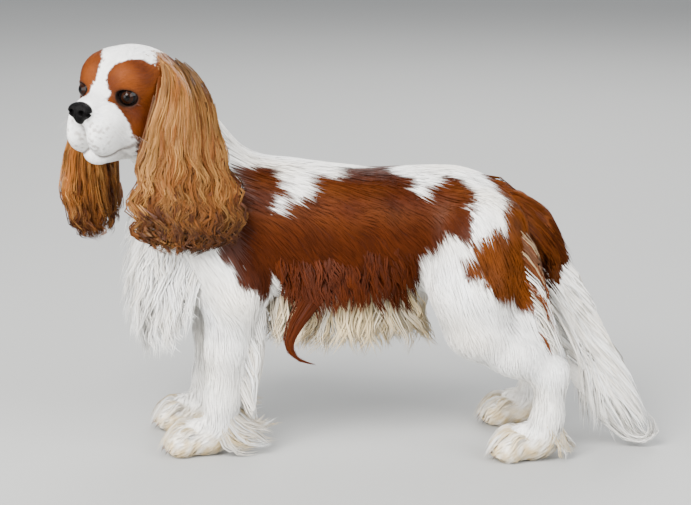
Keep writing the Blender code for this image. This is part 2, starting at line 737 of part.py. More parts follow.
# Rows of long hair on the trunk and tail: node, roots, tips, how many, half width, half depth, bow, wave
RUFF_ROWS = (
    ("chest", ((-0.180, -0.038, 0.160), (-0.205, -0.026, 0.158), (-0.212, 0.0, 0.158)),
     ((-0.183, -0.040, 0.098), (-0.207, -0.030, 0.092), (-0.214, 0.0, 0.083)), 7),
    ("chest", ((-0.178, -0.046, 0.200), (-0.206, -0.034, 0.198), (-0.218, 0.0, 0.196)),
     ((-0.186, -0.056, 0.128), (-0.224, -0.040, 0.122), (-0.238, 0.0, 0.122)), 8),
    ("chest", ((-0.172, -0.052, 0.238), (-0.198, -0.038, 0.236), (-0.210, 0.0, 0.232)),
     ((-0.186, -0.068, 0.172), (-0.230, -0.046, 0.162), (-0.246, 0.0, 0.164)), 8),
    ("neck", ((-0.160, -0.046, 0.305), (-0.188, -0.036, 0.300), (-0.200, -0.004, 0.295)),
     ((-0.168, -0.064, 0.262), (-0.214, -0.046, 0.246), (-0.236, 0.0, 0.238)), 8),
)
ELBOW_ROWS = (
    (((-0.088, -0.036, 0.166), (-0.056, -0.038, 0.166)),
     ((-0.092, -0.040, 0.116), (-0.070, -0.036, 0.110)), 3),
    (((-0.084, 0.0, 0.160), (-0.058, 0.0, 0.160)),
     ((-0.090, 0.0, 0.116), (-0.072, 0.0, 0.108)), 2),
)
FRINGE_ROWS = (
    (((-0.031, -0.042, 0.168), (0.006, -0.044, 0.168), (0.043, -0.042, 0.172)),
     ((-0.056, -0.034, 0.110), (0.010, -0.042, 0.104), (0.082, -0.034, 0.112)), 7),
    (((-0.031, 0.0, 0.158), (0.006, 0.0, 0.158), (0.043, 0.0, 0.162)),
     ((-0.058, 0.0, 0.104), (0.010, 0.0, 0.099), (0.080, 0.0, 0.106)), 6),
)
TAIL_ROWS = (
    (((0.205, 0.0, 0.224), (0.213, -0.002, 0.190), (0.218, -0.004, 0.160), (0.223, -0.006, 0.132)),
     ((0.242, -0.003, 0.160), (0.266, -0.008, 0.114), (0.289, -0.012, 0.076), (0.312, -0.018, 0.034)),
     3, 0.018),
    (((0.222, -0.005, 0.140), (0.228, -0.007, 0.118), (0.233, -0.009, 0.100), (0.222, -0.008, 0.128)),
     ((0.317, -0.020, 0.014), (0.300, -0.024, 0.004), (0.268, -0.024, 0.004), (0.237, -0.020, 0.006)),
     3, 0.023),
)
# Rows on the legs, from the ankle: roots, tips, how many, half width; two layers each
FORE_FEATHER = (((0.020, 0.0, 0.132), (0.012, 0.0, 0.095), (0.004, 0.0, 0.056)),
                ((0.050, -0.004, 0.106), (0.038, -0.003, 0.066), (0.026, -0.002, 0.039)), 4, 0.010)
BREECH_FEATHER = (((-0.024, 0.004, 0.208), (-0.026, 0.001, 0.186), (-0.032, 0.000, 0.162)),
                  ((0.006, -0.002, 0.164), (0.015, -0.004, 0.132), (0.012, -0.004, 0.108)), 3, 0.015)
HEEL_TUFT = (((0.000, -0.008, 0.024), (0.000, 0.008, 0.020)),
             ((0.058, -0.010, 0.022), (0.046, 0.012, 0.010)), 4, 0.006)
HIND_HEEL_TUFT = (((0.000, -0.008, 0.022), (0.000, 0.008, 0.020)),
                  ((0.032, -0.008, 0.008), (0.030, 0.010, 0.007)), 3, 0.006)
TOE_TUFT = (
    ((-0.034, -0.018, 0.016), (-0.046, -0.008, 0.019), (-0.046, 0.008, 0.019), (-0.034, 0.018, 0.016)),
    ((-0.052, -0.022, 0.006), (-0.061, -0.009, 0.006), (-0.061, 0.009, 0.006), (-0.052, 0.022, 0.006)),
    3, 0.0115)


def add_locks(name, parts, locks):
    """Fuses locks to the piece that carries them."""
    boolean(parts[name], locks, "UNION")
    largest_only(parts[name])


def coat(parts):
    """Fuses the long hair to the pieces that carry it, in the order of the seed's draws."""
    random = np.random.default_rng(SEED)
    for name, roots, tips, count in RUFF_ROWS:
        add_locks(name, parts, curtain(random, both_sides(roots), both_sides(tips), count, 0.0105, 0.0030,
                                       (-0.006, 0.0, 0.0), wave=0.004))
    for name, rows in (("chest", ELBOW_ROWS), ("loin", FRINGE_ROWS)):
        for roots, tips, count in rows:
            for side in (1, -1) if roots[0][1] else (1,):
                lines = [[(x, y * side, z) for x, y, z in line] for line in (roots, tips)]
                add_locks(name, parts, curtain(random, *lines, count, 0.0105, 0.0026, (0.004, 0.0, 0.0),
                                               wave=0.004))
    for roots, tips, count, width in TAIL_ROWS:
        for shift in (-0.0060, 0.0045):
            lines = [[(x, y + shift, z) for x, y, z in line] for line in (roots, tips)]
            add_locks("tail", parts, curtain(random, *lines, count, width, 0.0040, (0.008, shift, 0.0),
                                             wave=0.003, ragged=0.01))
    for name, (rows, side, x_shift, y) in LEGS.items():
        ankle = rows[-1][0] + x_shift
        fore = name.startswith("fore")
        limb, foot = ("foreleg_", "forepaw_") if fore else ("thigh_", "hindpaw_")
        mark = name.split("_")[1]
        roots, tips, count, width = FORE_FEATHER if fore else BREECH_FEATHER
        for shift in (-0.007, 0.007):
            lines = [[(px, py + shift, pz) for px, py, pz in beside(line, side, ankle, y)]
                     for line in (roots, tips)]
            add_locks(limb + mark, parts, curtain(random, *lines, count, width, 0.0026, (0.003, 0.0, -0.002)))
        for roots, tips, count, width in (TOE_TUFT, HEEL_TUFT if fore else HIND_HEEL_TUFT):
            add_locks(foot + mark, parts, curtain(random, beside(roots, side, ankle, y),
                                                  beside(tips, side, ankle, y), count, width, 0.0020,
                                                  (0.0, 0.0, 0.001), wave=0.001, ragged=0.03))
    add_locks("ear_left", parts, ear_locks(random, EAR_LEFT, -1))
    add_locks("ear_right", parts, ear_locks(random, EAR_RIGHT, 1))


def above_neck(p):
    """The head's stretch of the body field, ended a little below its cut."""
    point, normal = (np.array(v) for v in HEAD_CUT)
    normal = normal / np.linalg.norm(normal)
    depth = sum((c - m) * n for c, m, n in zip(p, point, normal))
    return np.maximum(body(p), -0.008 - depth)


def sole_cut(made):
    """Ends the feet in flat soles at z = 0."""
    cut = half(made, *FLOOR_CUT, "cut")
    bpy.data.objects.remove(made, do_unlink=True)
    return cut


def build():
    """Makes every piece: meshes body and head, parts them with thin cuts, adds the rest and the long hair,
    and cuts neighbours clear of each other."""
    whole = meshed("whole", body, *BODY_BOX, BODY_STEP, BODY_TRIANGLES)
    whole = sole_cut(whole)
    fine = meshed("fine", above_neck, *HEAD_BOX, HEAD_STEP, HEAD_TRIANGLES)
    parts = {"head": half(fine, *HEAD_CUT, "head")}
    bpy.data.objects.remove(fine, do_unlink=True)
    rest = half(whole, HEAD_CUT[0], -Vector(HEAD_CUT[1]), "rest")
    bpy.data.objects.remove(whole, do_unlink=True)
    parts["neck"], rest = split(rest, *NECK_CUT, "neck", "rest")
    rump, front = split(rest, *RUMP_CUT, "rump", "front")
    parts["loin"], front = split(front, *CHEST_CUT, "loin", "chest")
    parts["chest"], legs = split(front, *ELBOW_CUT, "chest", "forelegs")
    fore = left_and_right(legs, "foreleg_left", "foreleg_right")
    hind = []
    for side, mark in ((-1, "left"), (1, "right")):
        point, normal = GROIN_CUT
        out = (normal[0], side * normal[1], -normal[2])
        far, rump = split(rump, (point[0], side * point[1], point[2]), out, "hind_" + mark, "rump")
        hind.append(far)
    parts["rump"] = rump
    for pair, kind in ((fore, "fore"), (hind, "hind")):
        for piece, mark in zip(pair, ("left", "right")):
            piece, foot = split(piece, *PAW_CUT, kind + "leg_" + mark, kind + "paw_" + mark)
            parts[kind + "paw_" + mark] = foot
            if kind == "hind":
                shank, thigh = split(piece, *KNEE_CUT, "shank_" + mark, "thigh_" + mark)
                parts["shank_" + mark], parts["thigh_" + mark] = shank, thigh
            else:
                parts["foreleg_" + mark] = piece
    parts["tail"] = meshed("tail", tail, *TAIL_BOX, TAIL_STEP, TAIL_CORE_TRIANGLES)
    parts["ear_left"] = ear("ear_left", EAR_LEFT, -1)
    parts["ear_right"] = ear("ear_right", EAR_RIGHT, 1)
    for mark, side in (("left", 1), ("right", -1)):
        parts["eye_" + mark] = eye("eye_" + mark, side)
    tip = EYE_MIDDLE + HEAD @ Vector(NOSE_MIDDLE)
    reach = Vector((NOSE_REACH,) * 3)
    parts["nose"] = meshed("nose", nose_field, tip - reach, tip + reach, NOSE_STEP, NOSE_TRIANGLES)
    coat(parts)
    for name, neighbours in CLEARANCES:
        boolean(parts[name], [swollen(parts[n]) for n in neighbours], "DIFFERENCE")
    for made in parts.values():
        largest_only(made)
    thin(parts["tail"], TAIL_TRIANGLES)
    return parts


def stand_on_origin(parts):
    """Moves everything so that the middle of the whole box stands over the origin."""
    points = np.array([v.co[:] for made in parts.values() for v in made.data.vertices])
    middle = (points.min(0) + points.max(0)) / 2
    shift = Vector((-middle[0], -middle[1], 0.0))
    for made in parts.values():
        made.data.transform(Matrix.Translation(shift))
    return shift


def material(name, colour, roughness):
    """A plain material of one colour."""
    made = bpy.data.materials.new(name)
    made.use_nodes = True
    shader = made.node_tree.nodes["Principled BSDF"]
    shader.inputs["Base Color"].default_value = (*colour, 1.0)
    shader.inputs["Roughness"].default_value = roughness
    return made


# Colour and roughness of the pieces that aren't white coat
COLOURS = {
    "head": (CHESTNUT, 0.7),
    "nose": (NOSE_BLACK, 0.35),
    "eye_left": (EYE_BROWN, 0.05),
    "eye_right": (EYE_BROWN, 0.05),
    "ear_left": (EAR_RED, 0.7),
    "ear_right": (EAR_RED, 0.7),
    "loin": (CHESTNUT, 0.7),
    "rump": (CHESTNUT, 0.7),
}


clear_scene()
parts = build()
SHIFT = stand_on_origin(parts)
for name, made in parts.items():
    made.name = name
    made.data.name = name
    made.data.materials.clear()
    made.data.materials.append(material(name, *COLOURS.get(name, (WHITE, 0.7))))
    made.data.shade_smooth()
    made.data.set_sharp_from_angle(angle=math.radians(50))
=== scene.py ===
"""A cavalier spaniel as a still, life-size model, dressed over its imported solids.

Units are metres. The dog faces -X and turns its head to its left, which is -Y and the camera's side. Shapes
are worked out about the dog's own middle plane, and each finished mesh is moved by SHIFT to where it was
packed.
"""
import math

import bpy
import numpy as np
from mathutils import Matrix, Vector


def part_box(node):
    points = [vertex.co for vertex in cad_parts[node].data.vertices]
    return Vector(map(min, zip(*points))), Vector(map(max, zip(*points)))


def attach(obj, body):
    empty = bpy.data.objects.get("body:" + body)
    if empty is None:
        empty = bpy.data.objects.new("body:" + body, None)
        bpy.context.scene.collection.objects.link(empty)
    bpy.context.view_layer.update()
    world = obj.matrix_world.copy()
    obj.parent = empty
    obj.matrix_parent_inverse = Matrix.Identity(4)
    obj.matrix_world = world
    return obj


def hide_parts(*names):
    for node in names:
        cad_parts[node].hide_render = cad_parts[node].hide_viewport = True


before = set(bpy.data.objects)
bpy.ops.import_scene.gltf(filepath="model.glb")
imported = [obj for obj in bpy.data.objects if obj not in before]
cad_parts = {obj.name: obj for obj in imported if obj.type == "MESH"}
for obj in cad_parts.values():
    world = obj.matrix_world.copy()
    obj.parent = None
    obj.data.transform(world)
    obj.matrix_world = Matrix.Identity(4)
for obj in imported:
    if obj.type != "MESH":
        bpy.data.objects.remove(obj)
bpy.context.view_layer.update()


# Skin: one hide from the nose to the paws, under the coat. It is a field of blended forms, meshed finely over
# the head and more coarsely elsewhere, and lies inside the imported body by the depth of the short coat.

# The head's own frame: origin midway between the eyes, +x to the nose, +y to the dog's left, +z up
EYE_MIDDLE = Vector((-0.2466, -0.0750, 0.3823))
HEAD = Matrix.Rotation(math.radians(240), 3, "Z") @ Matrix.Rotation(math.radians(-4), 3, "X")
EYE_RADIUS = 0.0115
EYE_CENTRE = (-0.0085, 0.0240, 0.0)
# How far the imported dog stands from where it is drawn, read from its left eye
eye_low, eye_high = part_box("eye_left")
SHIFT = np.array((eye_low + eye_high) / 2 - EYE_MIDDLE - HEAD @ Vector(EYE_CENTRE))

# Steps of the skin's grid on the head and elsewhere, and how deep the skin lies on trunk, legs and face
FINE, COARSE = 0.0013, 0.0041
COAT_DEPTH, LEG_COAT, FACE_COAT = 0.0050, 0.0022, 0.0012


def blend(a, b, k):
    """Smooth union of two fields: where they are within k of each other, a fillet joins them."""
    h = np.clip(0.5 + 0.5 * (b - a) / k, 0.0, 1.0)
    return b + (a - b) * h - k * h * (1.0 - h)


def carve(a, b, k):
    """Field a less field b, with its rim rounded by k."""
    return -blend(-a, b, k)


def ease(x, low, high):
    """0 up to low, 1 from high, with a smooth rise between; it falls instead where low is above high."""
    t = np.clip((x - low) / (high - low), 0.0, 1.0)
    return t * t * (3.0 - 2.0 * t)


def ellipsoid(p, centre, radii):
    """Near distance to an ellipsoid on the axes of p."""
    q = [(c - m) / r for c, m, r in zip(p, centre, radii)]
    near = np.sqrt(q[0] ** 2 + q[1] ** 2 + q[2] ** 2) + 1e-9
    slope = np.sqrt((q[0] / radii[0]) ** 2 + (q[1] / radii[1]) ** 2 + (q[2] / radii[2]) ** 2) + 1e-9
    return near * (near - 1.0) / slope


def bone(p, start, end, flat=1.0):
    """Round cone from start to end, each (x, y, z, radius); flat under 1 thins it sideways, in y."""
    a, b = np.array(start[:3]), np.array(end[:3])
    along = b - a
    t = np.clip(sum((c - m) * d for c, m, d in zip(p, a, along)) / float(along @ along), 0.0, 1.0)
    off = [c - (m + t * d) for c, m, d in zip(p, a, along)]
    return np.sqrt(off[0] ** 2 + (off[1] / flat) ** 2 + off[2] ** 2) - (start[3] + (end[3] - start[3]) * t)


def chain(p, joints, k=0.012, flat=1.0):
    """Bones through a list of joints, blended by k."""
    field = bone(p, joints[0], joints[1], flat)
    for start, end in zip(joints[1:], joints[2:]):
        field = blend(field, bone(p, start, end, flat), k)
    return field


def curve_at(x, knots, values):
    """Cubic through the knots, with slopes from the neighbours, so stations join with no corner."""
    knots, values = np.array(knots), np.array(values)
    slopes = np.gradient(values, knots)
    i = np.clip(np.searchsorted(knots, x) - 1, 0, len(knots) - 2)
    width = knots[i + 1] - knots[i]
    t = np.clip((x - knots[i]) / width, 0.0, 1.0)
    return ((2 * t ** 3 - 3 * t ** 2 + 1) * values[i] + (t ** 3 - 2 * t ** 2 + t) * width * slopes[i]
            + (3 * t ** 2 - 2 * t ** 3) * values[i + 1] + (t ** 3 - t ** 2) * width * slopes[i + 1])


# Trunk: one row for each station, as x, height of the back, height of the belly, half width
TRUNK = (
    (-0.228, 0.214, 0.196, 0.008),
    (-0.218, 0.240, 0.172, 0.034),
    (-0.195, 0.262, 0.152, 0.053),
    (-0.160, 0.288, 0.146, 0.063),
    (-0.120, 0.304, 0.147, 0.067),
    (-0.080, 0.307, 0.148, 0.069),
    (-0.030, 0.301, 0.149, 0.069),
    (0.020, 0.296, 0.152, 0.066),
    (0.070, 0.298, 0.158, 0.061),
    (0.110, 0.297, 0.166, 0.060),
    (0.140, 0.286, 0.172, 0.058),
    (0.165, 0.270, 0.178, 0.050),
    (0.182, 0.250, 0.186, 0.036),
    (0.192, 0.228, 0.200, 0.012),
)
STATION_X, BACK, BELLY, HALF_WIDTH = zip(*TRUNK)


def trunk(p):
    """Stations along the back, each a superellipse between back and belly."""
    x, y, z = p
    flat_x = np.clip(x, STATION_X[0], STATION_X[-1])
    top, low, half = (curve_at(flat_x, STATION_X, row) for row in (BACK, BELLY, HALF_WIDTH))
    middle, tall = (top + low) / 2, (top - low) / 2
    power = 2.3
    ring = (np.abs(y / half) ** power + np.abs((z - middle) / tall) ** power) ** (1 / power)
    return np.maximum((ring - 1.0) * np.minimum(half, tall), np.maximum(STATION_X[0] - x, x - STATION_X[-1]))


NECK = ((-0.135, 0.0, 0.245, 0.058), (-0.172, -0.004, 0.305, 0.051), (-0.203, -0.022, 0.365, 0.046))

# Legs: one row for each joint, as x, distance out from the leg's own y, z and radius
FORELEG = (
    (-0.165, -0.010, 0.240, 0.040),
    (-0.122, -0.002, 0.172, 0.036),
    (-0.130, 0.001, 0.115, 0.0225),
    (-0.135, 0.000, 0.060, 0.0180),
    (-0.140, 0.000, 0.028, 0.0180),
)
HINDLEG = (
    (0.128, -0.022, 0.228, 0.050),
    (0.122, -0.008, 0.180, 0.047),
    (0.127, 0.000, 0.143, 0.036),
    (0.165, 0.001, 0.116, 0.027),
    (0.203, 0.000, 0.091, 0.0180),
    (0.2005, 0.000, 0.045, 0.0155),
    (0.197, 0.000, 0.026, 0.0170),
)
FORE_OUT, HIND_OUT = 0.046, 0.063
# Joints, side of the body, how far the leg stands from its drawn x, and its distance from the middle plane
LEGS = {
    "fore_left": (FORELEG, -1, 0.0, FORE_OUT),
    "fore_right": (FORELEG, 1, -0.018, FORE_OUT),
    "hind_left": (HINDLEG, -1, 0.0, HIND_OUT),
    "hind_right": (HINDLEG, 1, -0.003, HIND_OUT),
}
# Toes: one toe's radii, the toes' places across a paw and the gap between them
TOE, TOE_PLACES, TOE_GAP = (0.0155, 0.0125, 0.0145), (-1.5, -0.5, 0.5, 1.5), 0.0102
# Long hair fills out the back of each leg; under its locks this is a flat pad down the limb
FORE_PAD = ((-0.118, 0.000, 0.168, 0.022), (-0.117, 0.000, 0.125, 0.0165), (-0.121, 0.000, 0.085, 0.0125),
            (-0.128, 0.000, 0.048, 0.0090))
HIND_PAD = ((0.140, -0.014, 0.236, 0.042), (0.150, -0.010, 0.195, 0.035), (0.165, -0.004, 0.156, 0.025),
            (0.185, 0.000, 0.122, 0.0165))
# Under the ruff and the belly's fringe: pads of close hair, as two joints and how wide they spread sideways
RUFF_PAD = ((-0.202, 0.0, 0.205, 0.030), (-0.194, 0.0, 0.142, 0.020), 1.3)
FRINGE_PAD = ((-0.062, 0.0, 0.150, 0.021), (0.060, 0.0, 0.153, 0.021), 1.6)


def toe_reach(place):
    """How far ahead of the ankle a toe's middle lies: the two outer toes lie further back."""
    return 0.0425 - 0.0035 * abs(place) ** 1.5


def paw(p, ankle_x, y):
    """A paw whose four toes fan out ahead of a rounded pad, heel under the ankle."""
    field = ellipsoid(p, (ankle_x - 0.016, y, 0.018), (0.030, 0.0215, 0.0205))
    for place in TOE_PLACES:
        toe = ellipsoid(p, (ankle_x - toe_reach(place), y + TOE_GAP * place, 0.0130), TOE)
        field = blend(field, toe, 0.0035)
    return field


def leg(p, rows, side, x_shift, y):
    """A leg's chain of bones, blended into its paw."""
    joints, pad = ([(x + x_shift, side * (y + out), z, r) for x, out, z, r in line]
                   for line in (rows, FORE_PAD if rows is FORELEG else HIND_PAD))
    limb = blend(chain(p, joints), chain(p, pad, flat=0.6), 0.010)
    return blend(limb, paw(p, rows[-1][0] + x_shift, side * y), 0.008)


def in_head(p):
    """Coordinates of p in the head's frame."""
    off = [c - m for c, m in zip(p, EYE_MIDDLE)]
    return [sum(HEAD[row][column] * off[row] for row in range(3)) for column in range(3)]


# Head forms, as centre and radii in the head's frame; those off the middle are on both sides
SKULL = ((-0.046, 0.0, 0.006), (0.054, 0.046, 0.038))
BROW = ((-0.022, 0.0165, 0.014), (0.028, 0.0205, 0.023))
CHEEK = ((-0.030, 0.022, -0.030), (0.034, 0.023, 0.034))
BRIDGE = ((-0.004, 0.0, -0.010, 0.018), (0.031, 0.0, -0.015, 0.0130))
CUSHION = ((0.004, 0.014, -0.023), (0.024, 0.0165, 0.019))
LIP = ((0.012, 0.0120, -0.0360), (0.0275, 0.0150, 0.0240))
JAW = ((0.009, 0.0, -0.0590, 0.0125), (-0.048, 0.0, -0.0480, 0.0240), 1.3)
LID_THICK, LID_OPENING, LID_AIM = 0.0016, (0.0120, 0.0104, 0.0080), math.radians(22)
GROOVE = ((0.0430, 0.0, -0.0200, 0.0012), (0.0370, 0.0, -0.0480, 0.0022))


def lid_opening(m):
    """The gap between an eye's lids: an almond that looks forward and out, its inner corner lower."""
    x = (m[0] - EYE_CENTRE[0]) * math.cos(LID_AIM) + (m[1] - EYE_CENTRE[1]) * math.sin(LID_AIM)
    y = (m[1] - EYE_CENTRE[1]) * math.cos(LID_AIM) - (m[0] - EYE_CENTRE[0]) * math.sin(LID_AIM)
    z = m[2] - EYE_CENTRE[2] + 0.12 * y
    return ellipsoid((x, y, np.maximum(z, 1.22 * z)), (EYE_RADIUS, 0.0, 0.0), LID_OPENING)


def head(p):
    """Skull, brows, cheeks, muzzle, hanging lips and jaw, with the lids raised round each eye."""
    q = in_head(p)
    m = [q[0], np.abs(q[1]), q[2]]
    field = ellipsoid(q, *SKULL)
    field = blend(field, ellipsoid(m, *BROW), 0.012)
    field = blend(field, ellipsoid(m, *CHEEK), 0.014)
    field = blend(field, bone(q, *BRIDGE), 0.010)
    field = blend(field, ellipsoid(m, *CUSHION), 0.010)
    field = blend(field, ellipsoid(m, EYE_CENTRE, (EYE_RADIUS + LID_THICK,) * 3), 0.004)
    field = carve(field, lid_opening(m), 0.0012)
    field = blend(field, ellipsoid(m, *LIP), 0.011)
    field = carve(field, bone(q, *GROOVE), 0.0015)
    return blend(field, bone(q, *JAW), 0.0025)


def spaced(low, fine_low, fine_high, high):
    """Grid places along an axis: fine steps over the head, coarse ones on both sides."""
    return np.concatenate([np.arange(low, fine_low, COARSE), np.arange(fine_low, fine_high, FINE),
                           np.arange(fine_high, high, COARSE)])


AXES = (spaced(-0.330, -0.302, -0.168, 0.245), spaced(-0.135, -0.128, 0.018, 0.110),
        spaced(-0.012, 0.297, 0.428, 0.450))


def within(low, high):
    """Slices of the grid inside a box, and the box's open grid of places."""
    cut = tuple(slice(*np.searchsorted(a, (l, h))) for a, l, h in zip(AXES, low, high))
    return cut, np.ix_(*(a[c] for a, c in zip(AXES, cut)))


def hide_field():
    """The body's field on the grid. Each limb is blended in only within its own box, past which it's out of
    reach."""
    grid = np.ix_(*AXES)
    field = blend(trunk(grid), chain(grid, NECK, flat=0.92), 0.030)
    for low, high, pad in (((-0.26, -0.08, 0.10), (-0.15, 0.08, 0.26), RUFF_PAD),
                           ((-0.12, -0.08, 0.10), (0.12, 0.08, 0.20), FRINGE_PAD)):
        cut, places = within(low, high)
        field[cut] = blend(field[cut], bone(places, *pad), 0.012)
    for rows, side, x_shift, y in LEGS.values():
        xs = [row[0] + x_shift for row in rows]
        low = (min(xs) - 0.075, side * y - 0.07, -0.02)
        high = (max(xs) + 0.070, side * y + 0.07, rows[0][2] + 0.07)
        cut, places = within(low, high)
        field[cut] = blend(field[cut], leg(places, rows, side, x_shift, y), 0.014)
    cut, places = within((-0.34, -0.16, 0.25), (-0.10, 0.09, 0.46))
    field[cut] = blend(field[cut], head(places), 0.016)
    x, y, z = grid
    from_head = np.sqrt(sum((c - m) ** 2 for c, m in zip(grid, HEAD_CENTRE)))
    depth = LEG_COAT + (COAT_DEPTH - LEG_COAT) * ease(z, 0.100, 0.150)
    depth = FACE_COAT + (depth - FACE_COAT) * ease(from_head, 0.070, 0.110)
    return np.maximum(field + depth, -z + 0.0004)


HEAD_CENTRE = EYE_MIDDLE + HEAD @ Vector((-0.012, 0.0, -0.018))
HIDE = hide_field()


def read_hide(p):
    """The hide's field at points, straight between the grid's places along each axis."""
    low, share = [], []
    for axis, places in enumerate(AXES):
        i = np.clip(np.searchsorted(places, p[:, axis]) - 1, 0, len(places) - 2)
        low.append(i)
        share.append(np.clip((p[:, axis] - places[i]) / (places[i + 1] - places[i]), 0.0, 1.0))
    total = 0.0
    for corner in np.ndindex(2, 2, 2):
        weight = 1.0
        for bit, t in zip(corner, share):
            weight = weight * (t if bit else 1.0 - t)
        total = total + weight * HIDE[low[0] + corner[0], low[1] + corner[1], low[2] + corner[2]]
    return total


def unit(v):
    """Vectors made one long."""
    return v / np.maximum(np.linalg.norm(v, axis=-1, keepdims=True), 1e-9)


def outward(p, step=0.0015):
    """Direction straight out of the hide: how its field rises along each axis."""
    return unit(np.stack([read_hide(p + d) - read_hide(p - d) for d in np.eye(3) * step], 1))


def from_face(p):
    """Distance from the head's middle."""
    return np.linalg.norm(p - np.array(HEAD_CENTRE), axis=1)


def head_to_dog(q):
    """Points given in the head's frame, in the dog's own."""
    return q @ np.array(HEAD).T + np.array(EYE_MIDDLE)


def net(value, axes):
    """Surface nets: one point in each cell that the surface crosses, at the mean of its edge crossings,
    and one quad round each grid edge that it crosses."""
    cells = tuple(n - 1 for n in value.shape)
    total, count = np.zeros(cells + (3,), np.float32), np.zeros(cells, np.float32)
    inside = value < 0

    def corner(array, c):
        return array[c[0]:c[0] + cells[0], c[1]:c[1] + cells[1], c[2]:c[2] + cells[2]]

    for a in np.ndindex(2, 2, 2):
        for axis in range(3):
            if a[axis]:
                continue
            b = tuple(v + (n == axis) for n, v in enumerate(a))
            crossed = corner(inside, a) != corner(inside, b)
            va, vb = corner(value, a)[crossed], corner(value, b)[crossed]
            place = np.repeat(np.array([a], np.float32), len(va), 0)
            place[:, axis] = va / (va - vb)
            total[crossed] += place
            count[crossed] += 1
    active = count > 0
    index = np.full(cells, -1)
    index[active] = np.arange(active.sum())
    where = np.argwhere(active) + total[active] / count[active][:, None]
    points = np.stack([np.interp(where[:, n], np.arange(len(a)), a) for n, a in enumerate(axes)], 1)
    quads = []
    for axis in range(3):
        u, v = (axis + 1) % 3, (axis + 2) % 3
        lower, upper = [slice(None)] * 3, [slice(None)] * 3
        lower[axis], upper[axis] = slice(0, -1), slice(1, None)
        crossed = np.argwhere(inside[tuple(lower)] != inside[tuple(upper)])
        crossed = crossed[(crossed[:, u] > 0) & (crossed[:, v] > 0)
                          & (crossed[:, u] < cells[u]) & (crossed[:, v] < cells[v])]
        ring = []
        for du, dv in ((-1, -1), (0, -1), (0, 0), (-1, 0)):
            cell = crossed.copy()
            cell[:, u] += du
            cell[:, v] += dv
            ring.append(index[cell[:, 0], cell[:, 1], cell[:, 2]])
        ring = np.stack(ring, 1)
        out = inside[crossed[:, 0], crossed[:, 1], crossed[:, 2]]
        quads.append(np.where(out[:, None], ring, ring[:, ::-1]))
    return points, np.concatenate(quads)


def add_piece(name, points, faces, material, replaced=()):
    """A mesh of arrays as a smooth piece of the dog, moved to where the dog was packed."""
    mesh = bpy.data.meshes.new(name)
    mesh.vertices.add(len(points))
    mesh.vertices.foreach_set("co", np.asarray(points + SHIFT, np.float32).ravel())
    sides = faces.shape[1]
    mesh.loops.add(faces.size)
    mesh.loops.foreach_set("vertex_index", np.asarray(faces, np.int32).ravel())
    mesh.polygons.add(len(faces))
    mesh.polygons.foreach_set("loop_start", np.arange(0, faces.size, sides, dtype=np.int32))
    mesh.update(calc_edges=True)
    mesh.shade_smooth()
    mesh.materials.append(material)
    piece = bpy.data.objects.new(name, mesh)
    bpy.context.scene.collection.objects.link(piece)
    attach(piece, "root")
    if replaced:
        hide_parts(*replaced)
    return piece


def paint(piece, colours):
    """Writes a colour for each vertex to the piece's own attribute."""
    shades = piece.data.attributes.new("coat_colour", "FLOAT_COLOR", "POINT")
    rgba = np.ones((len(colours), 4), np.float32)
    rgba[:, :3] = colours
    shades.data.foreach_set("color", rgba.ravel())


def face_along(piece, normals):
    """Sets the directions that shade a piece, so that hair is lit as the form it lies on."""
    piece.data.normals_split_custom_set_from_vertices(np.asarray(normals, np.float32))


# Markings: white with chestnut patches. Each patch is drawn as the hide would lie unrolled from the back, as
# x against degrees down from the spine on that side, and its edge is feathered as hair crosses it.
WHITE = np.array((0.93, 0.92, 0.89))
CREAM = np.array((0.70, 0.54, 0.30))
CHESTNUT = np.array((0.047, 0.0082, 0.0006))
DEEP_CHESTNUT = np.array((0.030, 0.0050, 0.0005))
THIGH_RED = np.array((0.097, 0.0235, 0.0020))
PAINTED_SHEEN_RED = np.array((0.100, 0.0255, 0.0035))
FACE_RED = np.array((0.135, 0.0305, 0.0026))
RIM_BLACK = np.array((0.012, 0.008, 0.006))
LIP_GREY = np.array((0.16, 0.12, 0.10))

SADDLE = ((-0.135, 98), (-0.135, 45), (-0.116, 22), (-0.104, 14), (-0.090, 22), (-0.080, 20), (-0.073, 33),
          (-0.073, 46), (-0.078, 60), (-0.068, 47), (-0.060, 56), (-0.050, 44), (-0.036, 27), (-0.014, 14),
          (0.006, -4), (0.030, -4), (0.045, 12), (0.058, 26), (0.068, 50), (0.074, 34), (0.092, 26),
          (0.121, 31), (0.119, 54), (0.122, 68), (0.123, 82), (0.110, 92), (0.107, 84), (0.098, 86),
          (0.084, 100), (0.070, 108), (0.064, 130), (0.058, 150), (0.028, 146), (-0.003, 150), (-0.024, 144),
          (-0.055, 156), (-0.070, 152), (-0.077, 146), (-0.081, 121), (-0.086, 140), (-0.098, 128),
          (-0.109, 118), (-0.118, 108))
THIGH_PATCH = ((0.146, 76), (0.156, 58), (0.175, 56), (0.200, 78), (0.205, 104), (0.205, 132), (0.178, 132),
               (0.155, 124), (0.136, 113), (0.118, 106), (0.106, 101), (0.115, 96), (0.112, 90), (0.132, 83))
TAIL_ROOT = ((0.134, -2), (0.140, 28), (0.148, 44), (0.156, 60), (0.170, 64), (0.182, 76), (0.190, 92),
             (0.230, 104), (0.240, -2))
# Metres of hide to each degree down from the spine
GIRTH = 0.0012
# Heights between which the red ends on the belly
RED_ENDS = (0.146, 0.154)
# Patches of the body: outline, and how far it is moved in x and in degrees on the dog's right
PATCHES = ((SADDLE, 0.010, 6), (THIGH_PATCH, -0.006, 5), (TAIL_ROOT, 0.0, 0))


def mottle(p, size, seed):
    """Smooth noise from about -1 to 1: sines of one wavelength along nine seeded directions."""
    random = np.random.default_rng(seed)
    ways = unit(random.normal(size=(9, 3)))
    return np.sin(p @ ways.T * (2 * math.pi / size) + random.uniform(0, 6.3, 9)).sum(1) / 3.0


